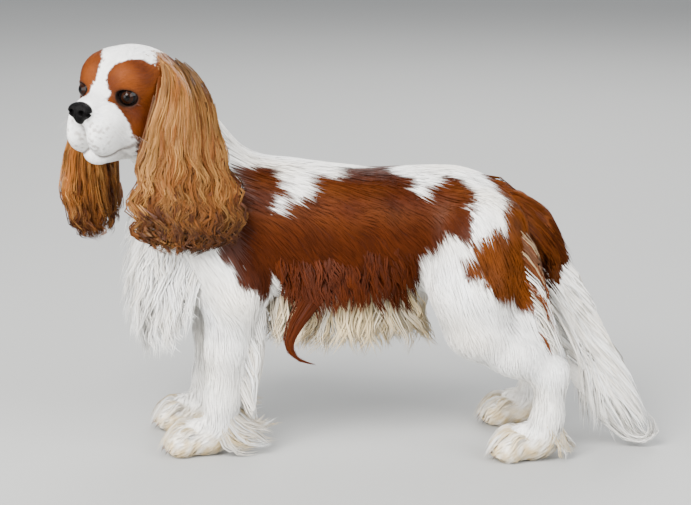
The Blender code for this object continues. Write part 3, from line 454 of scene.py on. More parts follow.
def inside_outline(u, v, outline):
    """Distance into a closed outline, negative outside: nearest edge, with its sign from crossings."""
    nearest, crossings = np.full(len(u), 9.0), np.zeros(len(u), bool)
    for (ua, va), (ub, vb) in zip(outline, outline[1:] + outline[:1]):
        du, dv = ub - ua, vb - va
        t = np.clip(((u - ua) * du + (v - va) * dv) / (du * du + dv * dv), 0.0, 1.0)
        nearest = np.minimum(nearest, np.hypot(u - ua - t * du, v - va - t * dv))
        if va != vb:
            crossings ^= ((va > v) != (vb > v)) & (u < ua + (v - va) * du / dv)
    return np.where(crossings, nearest, -nearest)


def unrolled(p):
    """Places on the hide unrolled from the spine: x, and degrees down from the spine, left of it above 0."""
    middle = np.interp(p[:, 0], STATION_X, (np.array(BACK) + np.array(BELLY)) / 2)
    return p[:, 0], np.degrees(np.arctan2(-p[:, 1], p[:, 2] - middle))


def mix(a, b, share):
    """Colours between a and b."""
    return a + (b - a) * np.clip(share, 0.0, 1.0)[:, None]


# Face: the red mask seen from the side of the head, and the blaze's half width by angle up from the nose
MASK = ((0.0170, 0.0060), (0.0160, 0.0000), (0.0125, -0.0040), (0.0100, -0.0140), (0.0000, -0.0320),
        (-0.0140, -0.0550), (-0.0400, -0.0700), (-0.0950, -0.0600), (-0.1100, 0.0300), (-0.0600, 0.0460),
        (-0.0180, 0.0395), (-0.0010, 0.0350), (0.0120, 0.0230), (0.0160, 0.0140))
BLAZE = ((0.0, 0.0110), (15.0, 0.0062), (35.0, 0.0064), (50.0, 0.0112), (62.0, 0.0172), (80.0, 0.0255),
         (100.0, 0.0320), (122.0, 0.0235), (150.0, 0.0130), (180.0, 0.0110))
# How far the blaze's middle lies to the dog's left on the forehead
BLAZE_LEFT = 0.0040


def face_colour(p, colour, share):
    """The head's markings laid over a colour by a share: red mask round the eyes and ears, white blaze, black
    lid rims inside a ring of painted shade, and dark lips."""
    q = np.stack(in_head(p.T), 1)
    m = np.stack([q[:, 0], np.abs(q[:, 1]), q[:, 2]])
    ragged = 0.0011 * mottle(p, 0.011, 21) + 0.0007 * mottle(p, 0.004, 22)
    mask = inside_outline(m[0], m[2], MASK)
    angle = np.degrees(np.arctan2(m[2] - 0.004, m[0] + 0.030))
    blaze = np.abs(q[:, 1] - BLAZE_LEFT * ease(angle, 25, 60)) - np.interp(angle, *zip(*BLAZE))
    red = ease(np.minimum(mask, blaze) + ragged, -0.0009, 0.0009)
    deep = 0.30 + 0.25 * mottle(p, 0.030, 23) + 0.35 * ease(m[0], -0.020, -0.050)
    warm = mix(FACE_RED, CHESTNUT * 1.3, deep + 0.40 * ease(m[2], 0.004, -0.024))
    face = mix(WHITE, warm, red)
    crease = np.abs(ellipsoid(m, *LIP) - bone(q.T, *JAW))
    mouth = ease(crease, 0.0030, 0.0008) * ease(m[0], -0.030, -0.008) * ease(m[2], -0.040, -0.046)
    face = mix(face, LIP_GREY, 0.85 * mouth)
    philtrum = ease(m[1], 0.0024, 0.0006) * ease(m[0], 0.030, 0.036) * ease(m[2], -0.016, -0.020)
    face = mix(face, LIP_GREY * 0.8, 0.7 * philtrum)
    freckle = ease(mottle(p, 0.0050, 24) + 0.4 * mottle(p, 0.018, 25), 0.30, 1.10)
    freckle = freckle * ease(m[0], 0.016, 0.028) * ease(m[2], -0.014, -0.022)
    face = mix(face, LIP_GREY * 1.5, 0.60 * freckle)
    from_lids = lid_opening(m)
    # Painted shade: a wide dark ring round the lids, in the eye's socket; the narrow ring after it is the
    # lids' own black rim
    face = mix(face, RIM_BLACK, 0.45 * ease(from_lids, 0.0060, 0.0020))
    face = mix(face, RIM_BLACK, ease(from_lids, 0.0022, 0.0009))
    return mix(colour, face, share)


# The head's markings end at a slanting plane through the throat
THROAT, THROAT_UP = np.array((-0.2000, -0.0200, 0.3330)), unit(np.array((-0.70, -0.40, 0.59)))


def coat_colour(p):
    """The coat's colour at points on the hide: red inside the patches' outlines, deeper low on the flank as
    painted shade where it turns under, with a band of painted sheen along its side, and else white, which
    turns to cream on the toes and under the belly. The head's markings are laid over it."""
    x, down = unrolled(p)
    ragged = 0.0035 * mottle(p, 0.030, 1) + 0.0018 * mottle(p, 0.011, 2) + 0.0008 * mottle(p, 0.005, 3)
    red = np.full(len(p), -1.0)
    thigh = np.full(len(p), -1.0)
    for outline, x_right, down_right in PATCHES:
        for side, x_move, down_move in ((1, 0.0, 0), (-1, x_right, down_right)):
            moved = tuple((px + x_move, (degrees + down_move) * GIRTH) for px, degrees in outline)
            depth = inside_outline(x, down * side * GIRTH, moved)
            red = np.maximum(red, depth)
            if outline is not SADDLE:
                thigh = np.maximum(thigh, depth)
    share = ease(red + ragged, -0.0012, 0.0012) * ease(p[:, 2] + 0.4 * ragged, *RED_ENDS)
    # Painted shade: the flank darkens towards DEEP_CHESTNUT as it turns under towards the belly, away from
    # the light
    low = ease(np.abs(down), 95, 125) * (0.75 + 0.25 * mottle(p, 0.05, 4))
    patch = mix(CHESTNUT, DEEP_CHESTNUT, 0.15 + 0.55 * low + 0.20 * mottle(p, 0.022, 5))
    # Painted sheen: a lighter band along the flank's side, about 50 degrees down from the spine, where light
    # catches the silky coat
    patch = mix(patch, PAINTED_SHEEN_RED, 0.35 * np.exp(-((np.abs(down) - 50) / 20) ** 2) * (1 + mottle(p, 0.03, 9)))
    patch = mix(patch, THIGH_RED * (0.9 + 0.15 * mottle(p, 0.02, 6))[:, None], ease(thigh, -0.004, 0.004))
    white = mix(WHITE, CREAM, 0.10 + 0.10 * mottle(p, 0.06, 7))
    toes = ease(p[:, 2], 0.034, 0.010)
    white = mix(white, CREAM, (0.75 + 0.45 * mottle(p, 0.012, 8)) * toes)
    under = 0.45 * ease(p[:, 2], 0.172, 0.150) * ease(np.abs(p[:, 1]), 0.056, 0.040)
    white = mix(white, CREAM, under * ease(x, -0.10, -0.07) * ease(x, 0.11, 0.08))
    colour = mix(white, patch, share)
    above = ease((p - THROAT) @ THROAT_UP, -0.003, 0.006) * ease(from_face(p), 0.16, 0.13)
    return face_colour(p, colour, above)


def set_inputs(tree, node, **inputs):
    """Sets a node's inputs: a socket is linked, and anything else is a value. Spaces in their names are
    written as underscores."""
    for name, value in inputs.items():
        socket = node.inputs[name.replace("_", " ")]
        if isinstance(value, bpy.types.NodeSocket):
            tree.links.new(value, socket)
        else:
            socket.default_value = value


def add_node(tree, kind, **inputs):
    """A shader node of a kind, with its inputs set."""
    node = tree.nodes.new("ShaderNode" + kind)
    set_inputs(tree, node, **inputs)
    return node


def new_material(name, **inputs):
    """A material with its shader's inputs set, its node tree and its shader."""
    made = bpy.data.materials.new(name)
    made.use_nodes = True
    shader = made.node_tree.nodes["Principled BSDF"]
    set_inputs(made.node_tree, shader, **inputs)
    return made, made.node_tree, shader


def painted(tree):
    """The colour that paint() wrote to the piece."""
    given = add_node(tree, "Attribute")
    given.attribute_name = "coat_colour"
    return given.outputs["Color"]


def object_place(tree):
    """The place on the piece in its own coordinates, so that a texture stays with it."""
    return add_node(tree, "TexCoord").outputs["Object"]


def toned(tree, colour, noise, low, high):
    """A colour times a tone, which runs from low to high as a noise runs over its middle part."""
    tone = add_node(tree, "MapRange", Value=noise, From_Min=0.3, From_Max=0.7, To_Min=low, To_Max=high)
    product = tree.nodes.new("ShaderNodeVectorMath")
    product.operation = "SCALE"
    set_inputs(tree, product, Vector=colour, Scale=tone.outputs["Result"])
    return product.outputs["Vector"]


def bumped(tree, height, strength, distance, invert=False):
    """Normals of a surface that rises and falls by a height."""
    bump = add_node(tree, "Bump", Height=height, Strength=strength, Distance=distance)
    bump.invert = invert
    return bump.outputs["Normal"]


def hide_material():
    """Skin and undercoat: the markings by vertex, with a fine short-haired grain."""
    made, tree, shader = new_material("skin and undercoat", Roughness=0.62, Specular_IOR_Level=0.10)
    grain = add_node(tree, "TexNoise", Vector=object_place(tree), Scale=420.0, Detail=4.0).outputs["Fac"]
    set_inputs(tree, shader, Base_Color=toned(tree, painted(tree), grain, low=0.84, high=1.05),
               Normal=bumped(tree, grain, strength=0.5, distance=0.0006))
    return made


skin_material = hide_material()
skin_points, skin_faces = net(HIDE, AXES)
for _ in range(2):
    skin_points = skin_points - outward(skin_points) * read_hide(skin_points)[:, None] * 0.9
skin = add_piece("skin", skin_points, skin_faces, skin_material,
                 ("head", "neck", "chest", "loin", "rump", "foreleg_left", "foreleg_right", "forepaw_left",
                  "forepaw_right", "thigh_left", "thigh_right", "shank_left", "shank_right", "hindpaw_left",
                  "hindpaw_right"))
paint(skin, coat_colour(skin_points))


# Eyes: large, dark and round, set forward. Each is one ball whose clear front bulges over a brown iris, and
# it sits in its socket behind the lids, turned a little outwards.
EYE_RINGS, EYE_SIDES = 48, 64
# How much smaller the ball is than its socket, how far its clear front stands out, and over what angle
EYE_SLACK, FRONT_RISE, FRONT_ANGLE = 0.0003, 0.0009, 0.42
# Angles from the line of sight at which the pupil, the iris and the iris's black edge end
PUPIL_END, IRIS_END, EDGE_END = 0.20, 0.52, 0.74
PUPIL, IRIS_EDGE = np.full(3, 0.001), np.full(3, 0.002)
IRIS_DARK, IRIS_LIGHT = np.array((0.006, 0.002, 0.001)), np.array((0.026, 0.008, 0.003))
EYE_WHITE = np.array((0.010, 0.006, 0.005))


def capped_tube(rings, sides):
    """Triangles of a tube of rings, which face out where the rings turn as the eyeball's do. It is closed at
    each end round a point, and these two points come after the rings'."""
    i = np.arange(sides)
    j = (i + 1) % sides
    row = np.arange(rings - 1)[:, None] * sides
    first, last, far = rings * sides, rings * sides + 1, (rings - 1) * sides
    walls = [np.stack([row + i, row + sides + i, row + sides + j], 2).reshape(-1, 3),
             np.stack([row + i, row + sides + j, row + j], 2).reshape(-1, 3)]
    caps = [np.stack([0 * i + first, i, j], 1), np.stack([0 * i + last, far + j, far + i], 1)]
    return np.concatenate(walls + caps)


def eyeball(side):
    """A ball about its line of sight: rings by angle from it, with the front raised by a smooth bump. Gives
    its points, faces, and each point's angle from the line of sight and turn round it."""
    angle = np.linspace(0.0, math.pi, EYE_RINGS)[:, None]
    turn = np.linspace(0.0, 2 * math.pi, EYE_SIDES, endpoint=False)[None, :]
    radius = EYE_RADIUS - EYE_SLACK + FRONT_RISE * np.exp(-(angle / FRONT_ANGLE) ** 4)
    ball = np.stack([radius * np.cos(angle) * np.ones_like(turn), radius * np.sin(angle) * np.cos(turn),
                     radius * np.sin(angle) * np.sin(turn)], 2)
    sight = np.array(HEAD @ Matrix.Rotation(side * LID_AIM, 3, "Z"))
    centre = EYE_MIDDLE + HEAD @ Vector((EYE_CENTRE[0], side * EYE_CENTRE[1], EYE_CENTRE[2]))
    points = ball[1:-1].reshape(-1, 3)
    points = np.concatenate([points, ball[:1, 0], ball[-1:, 0]]) @ sight.T + np.array(centre)
    gaze = np.concatenate([np.repeat(angle[1:-1, 0], EYE_SIDES), (0.0, math.pi)])
    around = np.concatenate([np.tile(turn[0], EYE_RINGS - 2), (0.0, 0.0)])
    return points, capped_tube(EYE_RINGS - 2, EYE_SIDES), gaze, around


def eye_colour(gaze, around):
    """Pupil, brown iris with fine spokes, a black edge to it, and the dark brown white of a dog's eye."""
    spokes = 0.5 + 0.25 * np.sin(around * 23.0 + 2.0 * np.sin(around * 5.0)) + 0.15 * np.sin(around * 57.0)
    iris = mix(IRIS_DARK, IRIS_LIGHT, spokes * ease(gaze, PUPIL_END, 0.50))
    colour = mix(PUPIL, iris, ease(gaze, PUPIL_END, PUPIL_END + 0.04))
    colour = mix(colour, IRIS_EDGE, ease(gaze, IRIS_END, IRIS_END + 0.10))
    return mix(colour, EYE_WHITE, ease(gaze, EDGE_END, EDGE_END + 0.12))


def eye_material():
    """A wet, clear front over the eye's own colours."""
    made, tree, shader = new_material("eye", Roughness=0.04, Specular_IOR_Level=0.10, Coat_Weight=0.05,
                                      Coat_Roughness=0.02)
    set_inputs(tree, shader, Base_Color=painted(tree))
    return made


eye_finish = eye_material()
for mark, side in (("left", 1), ("right", -1)):
    ball_points, ball_faces, gaze, around = eyeball(side)
    ball = add_piece("eyeball_" + mark, ball_points, ball_faces, eye_finish, ("eye_" + mark,))
    paint(ball, eye_colour(gaze, around))


# Nose: bare black leather over gristle, at the end of the muzzle. It is a broad damp pad with a nostril
# scooped from each side and a keel down to the lip.
NOSE_STEP, NOSE_INSET = 0.00055, 0.0002


def nose_field(q):
    """The pad and its keel in the head's frame, less the nostrils and the slits that run back from them."""
    m = [q[0], np.abs(q[1]), q[2]]
    field = blend(ellipsoid(q, (0.0385, 0.0, -0.0116), (0.0085, 0.0120, 0.0090)),
                  ellipsoid(q, (0.0385, 0.0, -0.0185), (0.0070, 0.0055, 0.0070)), 0.005)
    field = blend(field, ellipsoid(m, (0.0405, 0.0075, -0.0120), (0.0060, 0.0055, 0.0062)), 0.003)
    nostril = ellipsoid(m, (0.0470, 0.0060, -0.0128), (0.0055, 0.0030, 0.0026))
    slit = ellipsoid(m, (0.0415, 0.0125, -0.0135), (0.0070, 0.0030, 0.0013))
    crease = bone(q, (0.0480, 0.0, -0.0070, 0.0004), (0.0455, 0.0, -0.0260, 0.0006))
    return carve(carve(carve(field, nostril, 0.0012), slit, 0.0010), crease, 0.0009)


def ramped(tree, share, start, end):
    """A colour from start to end as a share runs from 0 to 1."""
    ramp = add_node(tree, "ValToRGB", Fac=share)
    for stop, colour in zip(ramp.color_ramp.elements, (start, end)):
        stop.color = (*colour, 1.0)
    return ramp.outputs["Color"]


def nose_leather():
    """Black leather: pebbled in small cells, damp enough to shine at its edges."""
    made, tree, shader = new_material("nose leather", Roughness=0.40, Specular_IOR_Level=0.06)
    cells = add_node(tree, "TexVoronoi", Vector=object_place(tree), Scale=950.0).outputs["Distance"]
    leather = ramped(tree, cells, (0.0030, 0.0026, 0.0025), (0.0010, 0.0009, 0.0009))
    pebbled = bumped(tree, cells, strength=0.9, distance=0.0004, invert=True)
    set_inputs(tree, shader, Base_Color=leather, Normal=pebbled)
    return made


NOSE_BOX = ((0.026, 0.052), (-0.018, 0.018), (-0.030, 0.002))
nose_axes = [np.arange(low, high, NOSE_STEP) for low, high in NOSE_BOX]
nose_points, nose_faces = net(nose_field(np.ix_(*nose_axes)) + NOSE_INSET, nose_axes)
add_piece("nose_pad", head_to_dog(nose_points), nose_faces, nose_leather(), ("nose",))


# Ears: thin leather flaps set high on the skull, which hang close to the cheeks under their long hair. Each
# station is x, y, z of the middle, turn of the width in degrees, half width and half depth with the hair.
EAR_LEFT = (
    (-0.1885, -0.0490, 0.4080, 55, 0.012, 0.005),
    (-0.1825, -0.0565, 0.3940, 55, 0.026, 0.0085),
    (-0.1765, -0.0700, 0.3700, 42, 0.033, 0.0095),
    (-0.1735, -0.0790, 0.3430, 28, 0.039, 0.0105),
    (-0.1700, -0.0840, 0.3180, 18, 0.046, 0.0120),
    (-0.1665, -0.0870, 0.2940, 12, 0.053, 0.0130),
    (-0.1650, -0.0880, 0.2690, 8, 0.059, 0.0130),
    (-0.1640, -0.0880, 0.2460, 6, 0.055, 0.0120),
    (-0.1655, -0.0870, 0.2300, 5, 0.043, 0.0100),
    (-0.1700, -0.0860, 0.2190, 5, 0.022, 0.0060),
)
EAR_RIGHT = (
    (-0.2555, -0.0095, 0.4080, 58, 0.012, 0.005),
    (-0.2565, -0.0030, 0.3940, 58, 0.026, 0.0085),
    (-0.2580, 0.0050, 0.3690, 59, 0.033, 0.0095),
    (-0.2630, 0.0070, 0.3420, 60, 0.039, 0.0105),
    (-0.2690, 0.0060, 0.3180, 62, 0.046, 0.0120),
    (-0.2710, 0.0040, 0.2940, 63, 0.053, 0.0130),
    (-0.2700, 0.0030, 0.2690, 65, 0.058, 0.0130),
    (-0.2670, 0.0030, 0.2460, 65, 0.052, 0.0120),
    (-0.2640, 0.0030, 0.2290, 65, 0.040, 0.0100),
    (-0.2610, 0.0030, 0.2170, 65, 0.020, 0.0060),
)
EARS = {"left": (EAR_LEFT, -1), "right": (EAR_RIGHT, 1)}
EAR_GOLD = np.array((0.36, 0.165, 0.042))
EAR_RED = np.array((0.20, 0.062, 0.009))
EAR_BROWN = np.array((0.080, 0.020, 0.003))


def ear_place(rows, outer, station, across, proud):
    """Points of an ear, with its directions across and out: at stations down it, by a share of its half width
    across and a share of its half depth out, which shrinks towards its edges."""
    rows = np.array(rows)
    at = np.arange(len(rows))
    x, y, z, turn, wide, deep = (np.interp(station, at, rows[:, n]) for n in range(6))
    turn = np.radians(turn)
    side = np.stack([-np.cos(turn), -np.sin(turn), 0 * turn], -1)
    out = np.cross(side, (0.0, 0.0, 1.0)) * outer
    curve = deep * (1.0 - 0.8 * across ** 2)
    points = np.stack([x, y, z], -1) + side * (across * wide)[..., None] + out * (proud * curve)[..., None]
    return points, side, out


def ear_flap(rows, outer, rings=30, sides=40):
    """The flap down to its own tip: a flat ring at each station, hollowed on the face that lies to the
    head."""
    station = np.linspace(0.0, 6.0, rings)[:, None] * np.ones(sides)
    turn = np.linspace(0.0, 2 * math.pi, sides, endpoint=False)[None, :] * np.ones((rings, 1))
    taper = np.sqrt(np.clip(1.0 - (station / 6.02) ** 4, 0.0, 1.0)) * (0.45 + 0.55 * ease(station, -0.6, 1.0))
    across = 0.80 * np.cos(turn) * taper
    proud = np.where(np.sin(turn) > 0, 0.30, 0.16) * np.sin(turn) * taper + 0.1 * np.cos(turn) ** 2
    points = ear_place(rows, outer, station, across, proud)[0]
    faces = capped_tube(rings, sides)
    points = np.concatenate([points.reshape(-1, 3), points[:1].mean(1), points[-1:].mean(1)])
    return points, faces[:, ::-1] if outer > 0 else faces


for mark, (rows, outer) in EARS.items():
    flap_points, flap_faces = ear_flap(rows, outer)
    flap = add_piece("ear_flap_" + mark, flap_points, flap_faces, skin_material, ("ear_" + mark,))
    paint(flap, np.repeat(EAR_BROWN[None], len(flap_points), 0))


# Tail: bone and muscle, thick at its root and thin at its end, under the same skin and undercoat. It carries
# on the croup's line and hangs behind the hocks in its plume. One row for each joint, as x, y, z and radius.
TAIL = (
    (0.168, 0.000, 0.256, 0.0180),
    (0.192, 0.000, 0.236, 0.0190),
    (0.206, 0.000, 0.206, 0.0180),
    (0.214, -0.003, 0.170, 0.0150),
    (0.223, -0.006, 0.130, 0.0110),
    (0.234, -0.010, 0.095, 0.0070),
)
# Under the plume's locks lies a flat fan of close hair
FAN = ((0.216, -0.004, 0.165, 0.014), (0.230, -0.008, 0.120, 0.017), (0.246, -0.012, 0.078, 0.021),
       (0.266, -0.017, 0.038, 0.017))


def tail_colour(p):
    """Red over the upper tail, cream where the plume starts, white below."""
    edge = p[:, 2] - 0.182 + 0.006 * mottle(p, 0.03, 31) + 0.003 * mottle(p, 0.01, 32)
    red = mix(THIGH_RED, CHESTNUT, 0.5 + 0.6 * mottle(p, 0.02, 33))
    pale = mix(WHITE, CREAM, 0.35 * ease(p[:, 2], 0.14, 0.20) + 0.08)
    return mix(pale, red, ease(edge, -0.003, 0.004))


# Step of the tail's grid, and how deep its skin lies under its coat
TAIL_STEP, TAIL_COAT = 0.003, 0.004
TAIL_BOX = ((0.14, 0.30), (-0.045, 0.035), (0.003, 0.29))
tail_axes = [np.arange(low, high, TAIL_STEP) for low, high in TAIL_BOX]
tail_grid = np.ix_(*tail_axes)
tail_field = blend(chain(tail_grid, TAIL, 0.004), chain(tail_grid, FAN, flat=0.45), 0.006)
tail_points, tail_faces = net(tail_field + TAIL_COAT, tail_axes)
tail_core = add_piece("tail_core", tail_points, tail_faces, skin_material, ("tail",))
paint(tail_core, tail_colour(tail_points))


# Short coat: silky hair that lies flat along the body, as thin closed tufts rooted in the skin. Each is
# combed along the skin's own surface, longer on the trunk than on the legs, and smallest on the face.
def hair_streaks():
    """Group: fine light and dark streaks along each tuft and a height to match, from the tuft's own Strand
    map."""
    group = bpy.data.node_groups.new("hair streaks", "ShaderNodeTree")
    for name, way, kind in (("Colour", "INPUT", "NodeSocketColor"), ("Depth", "INPUT", "NodeSocketFloat"),
                            ("Colour", "OUTPUT", "NodeSocketColor"), ("Height", "OUTPUT", "NodeSocketFloat")):
        group.interface.new_socket(name, in_out=way, socket_type=kind)
    given, out = group.nodes.new("NodeGroupInput"), group.nodes.new("NodeGroupOutput")
    strand = add_node(group, "UVMap")
    strand.uv_map = "Strand"
    stretch = add_node(group, "Mapping", Vector=strand.outputs["UV"], Scale=(9.0, 1.3, 1.0))
    fine = add_node(group, "TexNoise", Vector=stretch.outputs["Vector"], Scale=1.0, Detail=2.0).outputs["Fac"]
    streaked = toned(group, given.outputs["Colour"], fine, low=given.outputs["Depth"], high=1.12)
    set_inputs(group, out, Colour=streaked, Height=fine)
    return group


STREAKS = hair_streaks()


def coat_material(name, roughness, depth, bump, shine):
    """Hair: its own vertex colour with streaks along the strands as dark as depth, and a soft sheen."""
    made, tree, shader = new_material(name, Roughness=roughness, Specular_IOR_Level=shine)
    streaks = add_node(tree, "Group")
    streaks.node_tree = STREAKS
    set_inputs(tree, streaks, Colour=painted(tree), Depth=depth)
    set_inputs(tree, shader, Base_Color=streaks.outputs["Colour"],
               Normal=bumped(tree, streaks.outputs["Height"], strength=bump, distance=0.0004))
    return made


def lie(p):
    """Which way the hair lies: back and down the trunk, down the legs and chest, forward over the toes, and
    back from the nose over the head, each eased into the next and swept a little by a slow mottle."""
    x, y, z = p.T
    level, side = 0 * x, np.tanh(y / 0.03)
    low = ease(z, 0.30, 0.18)
    q = np.stack(in_head(p.T), 1)
    brow = ease(q[:, 2], -0.012, 0.012)
    muzzle = ease(q[:, 0], -0.010, 0.015)
    parting = 0.25 * np.sign(q[:, 1]) * ease(np.abs(q[:, 1]), 0.0, 0.01)
    over_head = np.stack([-1.0 + level, parting, -0.75 + 0.85 * brow + 0.25 * muzzle * (1 - brow)], 1)
    way = np.stack([0.95 - 0.45 * low, 0.30 * side, -0.22 - 0.75 * low], 1)
    down_chest = np.stack([0.10 + level, 0.15 * side, -1.0 + level], 1)
    over_hip = np.stack([0.42 + level, 0.10 * side, -0.90 + level], 1)
    # Chest, neck, hips, legs, toes and head: how far each takes over, and its own way
    for share, own in (
            (ease(x, -0.150, -0.190), down_chest),
            (ease(x, -0.120, -0.165) * ease(z, 0.27, 0.31), (0.62, 0.10, -0.80)),
            (ease(x, 0.085, 0.120) * ease(z, 0.285, 0.24), over_hip),
            (ease(z, 0.150, 0.115), (0.12, 0.0, -1.0)),
            (ease(z, 0.036, 0.022), (-0.9, 0.0, -0.55)),
            (ease(from_face(p), 0.105, 0.085), over_head @ np.array(HEAD).T)):
        way = way + (own - way) * share[:, None]
    sweep = 0.16 * mottle(p, 0.040, 41) + 0.10 * mottle(p, 0.017, 42)
    return way + np.stack([-way[:, 2], level, way[:, 0]], 1) * sweep[:, None]


def smooth_outward(p):
    """Outward direction read over a wider step on the trunk and legs, so that the grid's cells don't show."""
    near = ease(from_face(p), 0.100, 0.080)[:, None]
    return unit(outward(p) * near + outward(p, 0.0055) * (1.0 - near))


def combed(roots, lengths, stations, rise, sink):
    """Paths that start a little under the skin and follow its lie, each held at its own height over the
    surface, and which way each faces."""
    here = roots
    points = [roots - outward(roots) * sink]
    facing = [smooth_outward(roots)]
    for k in range(1, stations):
        normal = smooth_outward(here)
        way = lie(here)
        way = unit(way - normal * np.sum(way * normal, 1, keepdims=True))
        here = here + way * (lengths / (stations - 1))[:, None]
        height = rise * (0.55 + 0.45 * k / (stations - 1))
        here = here + outward(here) * (height - read_hide(here))[:, None]
        points.append(here)
        facing.append(normal)
    return np.stack(points, 1), np.stack(facing, 1)


# How wide a tuft's place is on the OFBake map
TUFT_PATCH = 0.003


def add_tufts(name, paths, across, facing, widths, colours, patch, material, painted_root_shade=0.12, tilt=0.22,
              thick=0.25):
    """Closed three-sided tufts: a flat triangle at every station but the last, which is the tip. They are
    shaded to face as told, tilted a little to their sides, and painted darker towards the root as shade among
    the hair. Each tuft's OFBake patch is TUFT_PATCH across at its root's place, and its Strand map runs along
    the hair."""
    count, stations = paths.shape[:2]
    along = unit(np.gradient(paths, axis=1))
    across = unit(across - along * np.sum(across * along, 2, keepdims=True))
    up = np.cross(along, across)
    rings = stations - 1
    half = (widths[:, :rings] / 2)[:, :, None, None]
    sideways, upwards = np.array((-1.0, 1.0, 0.0))[:, None], np.array((-0.3, -0.3, 0.7))[:, None] * thick * 2
    corners = across[:, :rings, None] * sideways + up[:, :rings, None] * upwards
    ring = paths[:, :rings, None] + half * corners
    points = np.concatenate([ring.reshape(count, -1, 3), paths[:, -1:]], 1)
    each = points.shape[1]
    faces = [(0, 2, 1)]
    for r in range(rings - 1):
        for i in range(3):
            a, b = 3 * r + i, 3 * r + (i + 1) % 3
            faces += [(a, b + 3, a + 3), (a, b, b + 3)]
    last = 3 * (rings - 1)
    faces += [(last + i, last + (i + 1) % 3, each - 1) for i in range(3)]
    faces = np.array(faces)
    all_faces = (faces[None] + np.arange(count)[:, None, None] * each).reshape(-1, 3)
    piece = add_piece(name, points.reshape(-1, 3), all_faces, material)
    turned = unit(facing[:, :rings, None] + tilt * across[:, :rings, None] * sideways)
    turned = np.concatenate([turned.reshape(count, -1, 3), unit(facing[:, -1:])], 1)
    face_along(piece, turned.reshape(-1, 3))
    if colours.ndim == 2:
        colours = np.repeat(colours[:, None], stations, 1)
    colours = np.concatenate([np.repeat(colours[:, :rings], 3, 1), colours[:, -1:]], 1)
    t = np.append(np.repeat(np.linspace(0.0, 1.0, stations)[:-1], 3), 1.0)
    s = np.append(np.tile((0.0, 1.0, 0.5), rings), 0.5)
    # Painted shade: each tuft is darker towards its root, where other hair shades it
    tone = (1.0 - painted_root_shade * (1.0 - t) ** 1.5)[None, :, None]
    paint(piece, (colours * tone).reshape(-1, 3))
    uv = patch[:, None] + np.stack([s - 0.5, t - 0.5], 1)[None] * TUFT_PATCH
    bake = piece.data.uv_layers.new(name="OFBake")
    loops = all_faces.ravel()
    bake.data.foreach_set("uv", uv.reshape(-1, 2)[loops].astype(np.float32).ravel())
    length = np.linalg.norm(np.diff(paths, axis=1), axis=2).sum(1)
    strand = np.stack([np.broadcast_to(s, (count, each)) + np.arange(count)[:, None] * 3.7,
                       t[None] * length[:, None] * 60 + np.arange(count)[:, None] * 1.9], 2)
    hair = piece.data.uv_layers.new(name="Strand")
    hair.data.foreach_set("uv", strand.reshape(-1, 2)[loops].astype(np.float32).ravel())
    return piece


# Where the coat's parts meet: the face's edge from the head's middle, the shoulder's and the hip's x, and the
# heights of the legs' tops and the neck's foot
FACE_EDGE, SHOULDER, HIP, LEG_TOP, NECK_FOOT = 0.088, -0.120, 0.080, 0.140, 0.250


def hide_patch(p):
    """A place on the map of the unwrapped skin: the trunk rolled out about its length at the upper left, the
    head about its own at the upper right, and the four legs in a row below."""
    x, down = unrolled(p)
    trunk_map = np.stack([0.02 + (x + 0.26) / 0.52 * 0.60, 0.30 + (down + 180) / 360 * 0.68], 1)
    which = (x > 0).astype(float) * 2 + (p[:, 1] > 0)
    centre = np.where(x > 0, 0.18, -0.135)
    turn = np.arctan2(np.abs(p[:, 1]) - 0.055, x - centre) / (2 * math.pi) + 0.5
    leg_map = np.stack([0.02 + 0.24 * which + 0.22 * turn, 0.02 + p[:, 2] / 0.16 * 0.25], 1)
    q = np.stack(in_head(p.T), 1)
    head_turn = np.arctan2(q[:, 1], q[:, 2] + 0.02) / (2 * math.pi) + 0.5
    head_map = np.stack([0.66 + 0.32 * head_turn, 0.30 + np.clip((q[:, 0] + 0.12) / 0.18, 0, 1) * 0.68], 1)
    on_leg = (p[:, 2] < LEG_TOP)[:, None]
    on_head = (from_face(p) < 0.105)[:, None]
    return np.where(on_head, head_map, np.where(on_leg, leg_map, trunk_map))


def above_floor(path, clear=0.0015):
    """Keeps hair off the floor, some of it a little further than the rest."""
    path[..., 2] = np.maximum(path[..., 2], clear + 0.0006 * np.sin(path[..., 0] * 900))
    return path


def scattered(random, points, faces, count, density):
    """Places on quads, each quad picked in proportion to its area and to the density at its middle."""
    a, b, c, d = (points[faces[:, n]] for n in range(4))
    area = sum(np.linalg.norm(np.cross(m - a, n - a), axis=1) for m, n in ((b, c), (c, d))) / 2
    middle = (a + b + c + d) / 4
    total = np.cumsum(area * density(middle))
    pick = np.searchsorted(total, random.uniform(0, total[-1], count))
    u, v = random.uniform(size=(2, count, 1))
    return (a[pick] * (1 - u) + b[pick] * u) * (1 - v) + (d[pick] * (1 - u) + c[pick] * u) * v


# A tuft's length, width and height on the legs, what the trunk and the feet add to them, the same three on
# the face, and what the muzzle adds there
LEG_TUFT, TRUNK_MORE = np.array((0.016, 0.00095, 0.0020)), np.array((0.012, 0.00025, 0.0006))
FOOT_MORE = np.array((-0.004, 0.0002, 0.0014))
FACE_TUFT, MUZZLE_MORE = np.array((0.0105, 0.00070, 0.0007)), np.array((-0.0050, -0.00020, -0.0003))


def tuft_size(p):
    """Length and width of the tufts that grow at p, and how high they stand."""
    along_head = in_head(p.T)[0]
    body, foot, face, muzzle = (share[:, None] for share in (
        ease(p[:, 2], 0.110, 0.165), ease(p[:, 2], 0.050, 0.025), ease(from_face(p), 0.120, 0.082),
        ease(along_head, -0.012, 0.010)))
    size = LEG_TUFT + TRUNK_MORE * body + FOOT_MORE * foot
    return (size + (FACE_TUFT + MUZZLE_MORE * (muzzle * face) - size) * face).T


